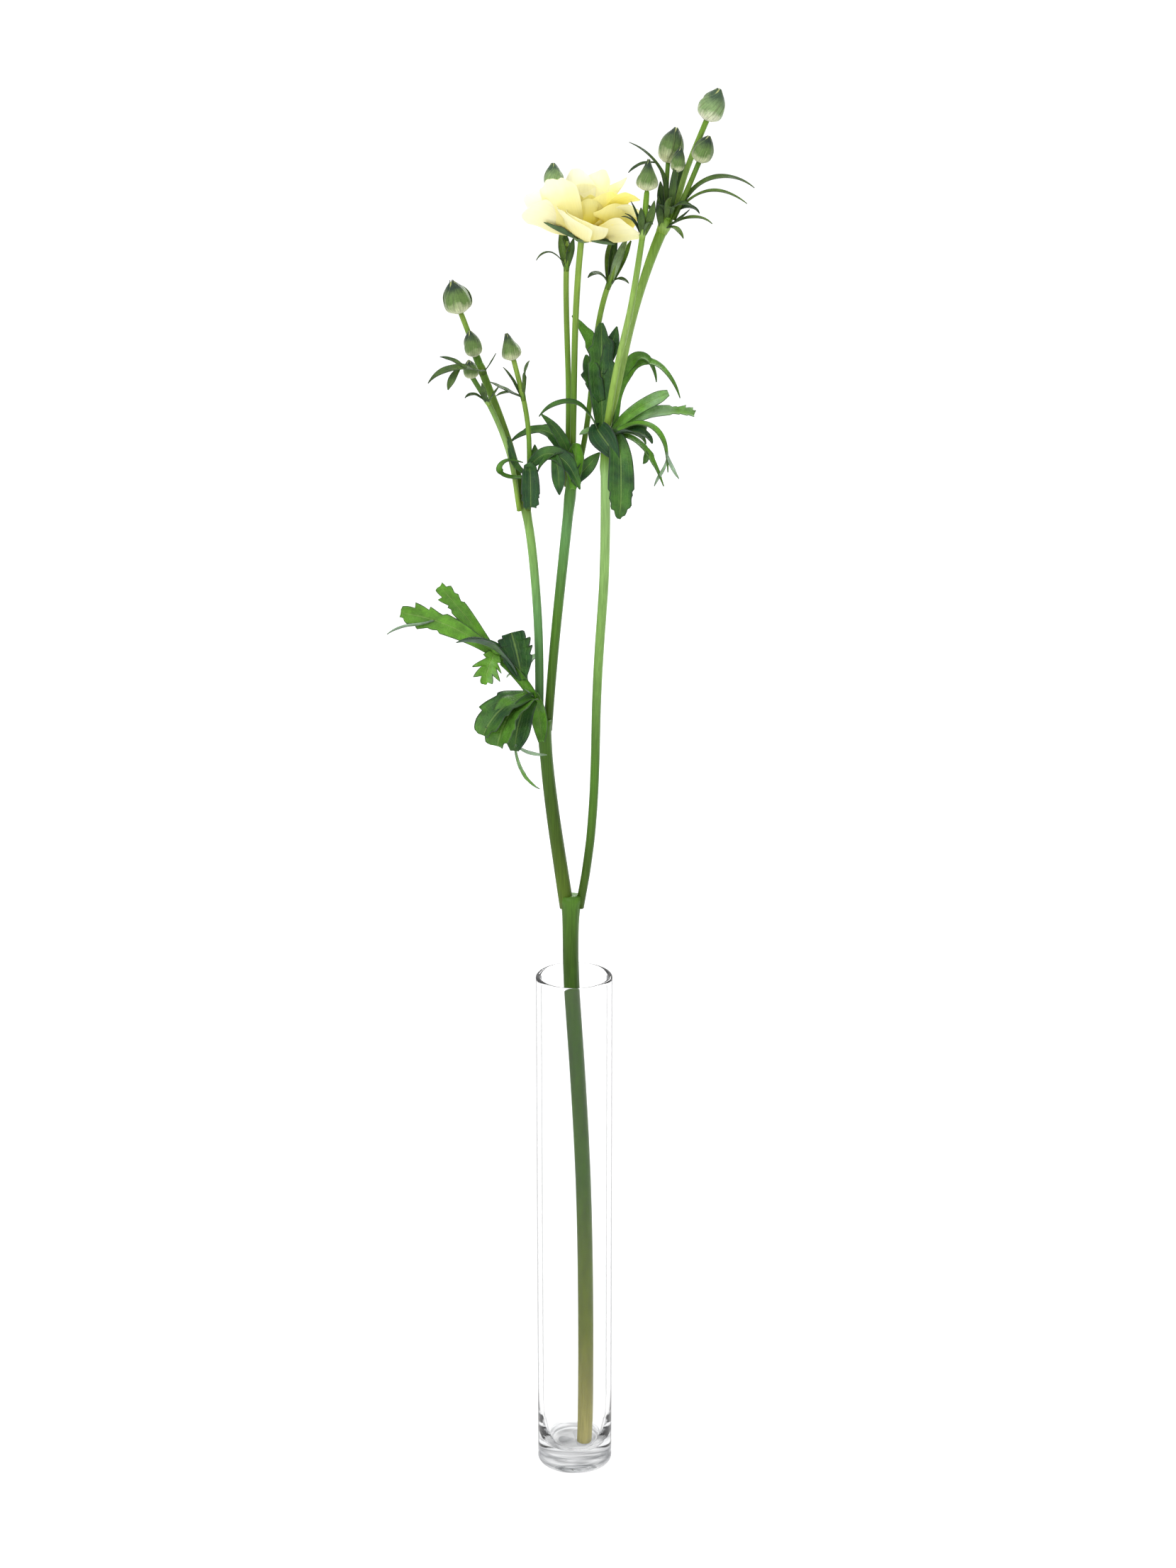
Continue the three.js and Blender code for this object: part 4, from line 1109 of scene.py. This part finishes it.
def make_petal(name, replaced, heading, rise, length, width, finish, foot_up, foot_out=2.6, **form):
    """Grows a petal from the seat. `replaced` is the solid petal that it stands for, if any."""
    out = direction(heading[0], 0)
    foot = flower_seat + out * foot_out * MM + flower_way * foot_up * MM
    line = growing_line(foot, length, heading, rise)
    outward = direction(sum(heading) / len(heading), 0)
    settings = dict(
        faces=UP - outward, widest=0.68, base=0.3, tip=0.76, bow=0.26, ragged=0.008,
        cup=0.9, fold=0, waves=1.7, wave=0.05, columns=18, rows=24,
    )
    settings.update(form)
    shape = start_part()
    grow_blade(shape, line, width, **settings)
    stands_for = ["petal_" + replaced] if replaced else ()
    piece = finish_piece("petal_" + name, shape, [finish], stands_for, PETAL_WALL)
    rounder = piece.modifiers.new("rounder", "SUBSURF")
    rounder.levels = 1
    rounder.render_levels = 1


make_petal("back_left", "outer_2", [112], [66, 80, 86], 23, 14, petal_white, 3.4)
make_petal("back_right", "middle_1", [52], [58, 70, 76], 23.5, 16, petal_cream, 3.2)
make_petal("back_inner", "inner_2", [85], [58, 78, 92], 16.5, 20, petal_cream, 4.5)
make_petal("pointed", "inner_1", [38], [44, 46, 44], 24, 8, petal_cream, 5, tip=0.2)
make_petal("right_upper", "outer_1", [14], [42, 34, 2], 21, 17, petal_gold, 4.5, tip=0.86, twist=[-15])
make_petal("right_lower", "middle_5", [4], [22, 20, 0], 21, 17, petal_cream, 3.2, tip=0.86, twist=[-20])
make_petal("left_inner", "middle_2", [150], [55, 68, 76], 20, 17, petal_cream, 3.4)
TO_HEART = Vector((-0.25, 0.95, 0.5))
TO_HEART_FROM_LEFT = Vector((0.4, 0.8, 0.5))
make_petal("left_upper", "outer_3", [184], [30, 40, 34], 23, 16, petal_white, 3.2, tip=0.86,
           faces=TO_HEART_FROM_LEFT, cup=0.7)
make_petal("left_low", "outer_4", [192], [20, 28, 14], 21.5, 16, petal_white, 2.6, tip=0.86,
           faces=TO_HEART_FROM_LEFT, cup=0.7)
make_petal("left_big", "middle_3", [226, 215, 205], [45, 66, 76], 25, 15, petal_cream, 2, tip=0.8,
           wave=0.1, ragged=0.02, faces=Vector((0.2, 0.95, 0.3)), cup=0.6, widest=0.6, bow=0.14)
make_petal("front_left", "inner_3", [248], [16, 40, 58], 19, 21, petal_cream, 1.4, wave=0.1, bow=0.3,
           tip=0.5, cup=0.55, twist=[-35])
make_petal("front_dome", "inner_4", [368, 360, 300, 285], [42, 46, 74, 112], 17.5, 19, petal_gold, 3.2,
           faces=TO_HEART, cup=0.8, tip=0.55, widest=0.6, bow=0.2)
make_petal("front_roll", "middle_4", [355, 345, 290, 280], [8, 18, 68, 115], 19, 21, petal_gold, 2.6,
           faces=TO_HEART, cup=0.8, tip=0.6, widest=0.62, bow=0.2)
make_petal("front_fold", None, [345, 330, 290], [0, 12, 78], 16, 10, petal_gold, 2.2, faces=TO_HEART,
           tip=0.6)
make_petal("front_low", "outer_5", [268], [6, 34, 52], 18, 20, petal_cream, 1.2, foot_out=1.6,
           twist=[-30])
make_petal("front_right", None, [343], [-6, 6, 18], 21, 18, petal_cream, 1.4, foot_out=1.6, twist=[-35],
           tip=0.86)
make_petal("heart_front", None, [300, 285], [48, 78, 124], 13.5, 15, petal_gold, 3.4, foot_out=1.6,
           faces=TO_HEART, cup=0.8, tip=0.6)
make_petal("heart_left", None, [160], [60, 84, 104], 13, 13, petal_gold, 5, foot_out=1.8)
make_petal("heart_right", None, [40], [60, 84, 104], 12, 13, petal_gold, 5, foot_out=1.8)


# %% [markdown]
# ## Under and inside the flower
#
# The petals grow from a small green receptacle, with five sepals spread below them. Inside, hidden
# by the petals from the front but not from above, is a button of tiny green carpels ringed by
# yellow stamens. The carpels are set by the golden angle, as they grow on the real flower.

# %% Calyx
CALYX_SEPALS = [  # heading, rise, length
    (196, [22, 27, 36], 14), (328, [-12, -5, 6], 12), (262, [-8, 8, 30], 9), (35, [0, 10, 20], 13),
    (110, [4, 14, 24], 13),
]


def make_calyx():
    shape = start_part()
    line = [flower_seat + flower_way * step * MM for step in (-0.4, 0.2, 1.0, 2.2, 3.6, 5.4)]
    grow_tube(shape, line, lambda p: part_way([1.3, 2.6, 3.2, 3.2, 3.0, 2.4], p) * MM, sides=24, ribs=5)
    for index, (heading, rise, length) in enumerate(CALYX_SEPALS):
        foot = flower_seat + direction(heading, 0) * 1.8 * MM + flower_way * 0.8 * MM
        grow_blade(
            shape, growing_line(foot, length, [heading], rise), 5.4, faces=UP, widest=0.5, base=0.5,
            cup=1.3, tone=0.1 + 0.15 * index,
        )
    finish_piece("calyx_sepals", shape, [bract_upper, bract_under], ["calyx"], 0.25)


make_calyx()

# %% Carpels and stamens
GOLDEN_ANGLE = math.pi * (3 - math.sqrt(5))
DOME = 2.6 * MM
CARPELS = 70
STAMENS = 36
button = Finish("green carpels")
carpel_green = button.surface(
    button.ramp(button.grain(0.0012), [(0.3, tint(120, 142, 52)), (0.7, tint(176, 186, 88))]), 0.5,
    through=0.1,
)
dust = Finish("yellow anthers")
anther_yellow = dust.surface(
    dust.ramp(dust.grain(0.0006), [(0.3, tint(206, 170, 52)), (0.7, tint(236, 208, 96))]), 0.8, through=0.1,
)


def make_centre():
    shape = start_part()
    stand = Matrix.Translation(flower_foot) @ UP.rotation_difference(flower_way).to_matrix().to_4x4()
    bmesh.ops.create_uvsphere(shape, u_segments=24, v_segments=14, radius=DOME)
    for index in range(CARPELS):
        down = 1.5 * (index + 0.5) / CARPELS
        around = GOLDEN_ANGLE * index
        out = Vector((math.sin(down) * math.cos(around), math.sin(down) * math.sin(around), math.cos(down)))
        made = bmesh.ops.create_cone(
            shape, cap_ends=True, segments=8, radius1=0.36 * MM, radius2=0.08 * MM, depth=1.1 * MM)["verts"]
        turn = UP.rotation_difference(out).to_matrix().to_4x4()
        bmesh.ops.transform(shape, matrix=Matrix.Translation(out * (DOME + 0.2 * MM)) @ turn, verts=made)
    bmesh.ops.scale(shape, vec=(1, 1, 1.3), verts=shape.verts)
    bmesh.ops.translate(shape, vec=(0, 0, 0.6 * MM), verts=shape.verts)
    bmesh.ops.transform(shape, matrix=stand, verts=shape.verts)
    finish_piece("carpels", shape, [carpel_green], ["flower_centre"])

    ring = start_part()
    for index in range(STAMENS):
        away = direction(math.degrees(GOLDEN_ANGLE * index), 0)
        foot = (away * 2.4 - UP * 0.6) * MM
        reach, height = 2.7 + 0.5 * math.sin(index * 1.3), 3.4 + 0.6 * math.cos(index * 2.1)
        head = (away * reach + UP * height) * MM
        grow_tube(ring, [foot, (foot + head) / 2, head], lambda p: 0.1 * MM, sides=6, ribs=1)
        made = bmesh.ops.create_uvsphere(ring, u_segments=8, v_segments=6, radius=0.32 * MM)["verts"]
        bmesh.ops.scale(ring, vec=(1, 1, 2), verts=made)
        bmesh.ops.translate(ring, vec=head, verts=made)
    bmesh.ops.transform(ring, matrix=stand, verts=ring.verts)
    finish_piece("stamens", ring, [anther_yellow])


make_centre()


# %% [markdown]
# ## The glass vase
#
# The vase is a straight clear cylinder with a rounded lip and a thick, slightly uneven foot, as
# poured glass has. Its section is drawn once and spun round the upright axis. Real glass needs
# both its walls, so the section goes up the outside, over the lip, down the inside and across the
# bowl of the inner floor, and the light bends through it as it does in the real thing. Where the glass
# is seen at a slant its colour is painted dark, painted shade for the dark room sides that its edges
# bend into view, and that draws its outline. Its foot is painted grey, a painted reflection of those
# dark sides, with streaks for the cords in the glass.

# %% Vase section
WALL = 2 * MM
INNER_FLOOR = 7 * MM
VASE_STEPS = 128

vase_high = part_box("vase")[1]
vase_radius = vase_high.x
vase_height = vase_high.z
inside = vase_radius - WALL
lip = WALL / 2


def round_corner(centre, radius, start, end, steps):
    """Points of an arc in the section, by angles in degrees."""
    for step in range(steps + 1):
        angle = math.radians(start + (end - start) * step / steps)
        yield (centre[0] + radius * math.cos(angle), centre[1] + radius * math.sin(angle))


HEEL = 1.4 * MM
STRAIGHT = 0.3 * MM  # a ring this far from each corner keeps the long walls shading straight
WALL_ENDS = 24 * MM  # above the inner floor
BOWL_RISE = 15 * MM
BOWL_STEPS = 24
section = [(0, 0.5 * MM), (vase_radius * 0.6, 0.4 * MM), (vase_radius - 2.4 * MM, 0)]
section += round_corner((vase_radius - HEEL, HEEL), HEEL, -80, 0, 6)
section += [(vase_radius, HEEL + STRAIGHT), (vase_radius, vase_height - lip - STRAIGHT)]
section += round_corner((vase_radius - lip, vase_height - lip), lip, 0, 180, 10)
section += [(inside, vase_height - lip - STRAIGHT), (inside, INNER_FLOOR + WALL_ENDS)]
for step in range(BOWL_STEPS + 1):
    out = math.cos(math.pi / 2 * step / BOWL_STEPS) ** 0.8
    section.append((inside * out, INNER_FLOOR + BOWL_RISE * out ** 8))
print(len(section), "points in the section")

# %% Vase
glass_finish = Finish("clear glass")
swells = glass_finish.grain(0.02, stretch=(1, 1, 3), detail=1.0)
ripples = glass_finish.sum("MULTIPLY", swells, 0.25)
cords = glass_finish.grain(0.004, stretch=(4, 4, 0.5), detail=2.0)
height = glass_finish.add("SeparateXYZ", {0: glass_finish.add("TexCoord").outputs["Object"]}).outputs[2]
in_foot = glass_finish.sum("LESS_THAN", height, INNER_FLOOR)
# the foot's streaks are the glass's cords; its grey is a painted reflection of the dark room sides
foot_cords_and_painted_grey = glass_finish.ramp(cords, [(0.38, (0.15, 0.155, 0.16, 1)), (0.6, (0.66, 0.67, 0.68, 1))])
slanting = glass_finish.add("LayerWeight", {"Blend": 0.5}).outputs["Facing"]
# painted shade: the glass colour darkens where it is seen at a slant, standing for the dark sides it bends
# into view
painted_edge_shade = glass_finish.ramp(slanting, [(0.7, (0.99, 0.99, 0.99, 1)), (0.82, (0.06, 0.065, 0.07, 1))])
relief = glass_finish.sum("MULTIPLY_ADD", cords, in_foot, ripples)
clear_glass = glass_finish.surface(
    glass_finish.blend(in_foot, painted_edge_shade, foot_cords_and_painted_grey), 0.0,
    glass_finish.bump(relief, 0.00012), Transmission_Weight=0.985, IOR=1.3,
    Specular_IOR_Level=0.12, Specular_Tint=(0.35, 0.35, 0.35, 1),
)


UNEVEN = 0.25 * MM


def make_vase():
    shape = bmesh.new()
    spin_profile(shape, [shape.verts.new((away, 0, up)) for away, up in section], VASE_STEPS)
    for vertex in shape.verts:
        away = math.hypot(vertex.co.x, vertex.co.y)
        near_floor = INNER_FLOOR - 1 * MM < vertex.co.z < INNER_FLOOR + 3 * MM
        if near_floor and away < inside - 1 * MM:
            around = math.atan2(vertex.co.y, vertex.co.x)
            vertex.co.z += UNEVEN * math.sin(3 * around + 1) * away / inside
    finish_piece("vase_glass", shape, [clear_glass], ["vase"])


make_vase()

# %% [markdown]
# ## Sizes
#
# The dressed model keeps to the size of the solid one, give or take a leaf tip, so both boxes are
# written down to be compared.

# %% Write the sizes
shown_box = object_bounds()
for axis, *ends in zip("xyz", *shown_box, *cad_box):
    print(axis, "shown low, high and solid low, high:", *(round(end / MM, 1) for end in ends))
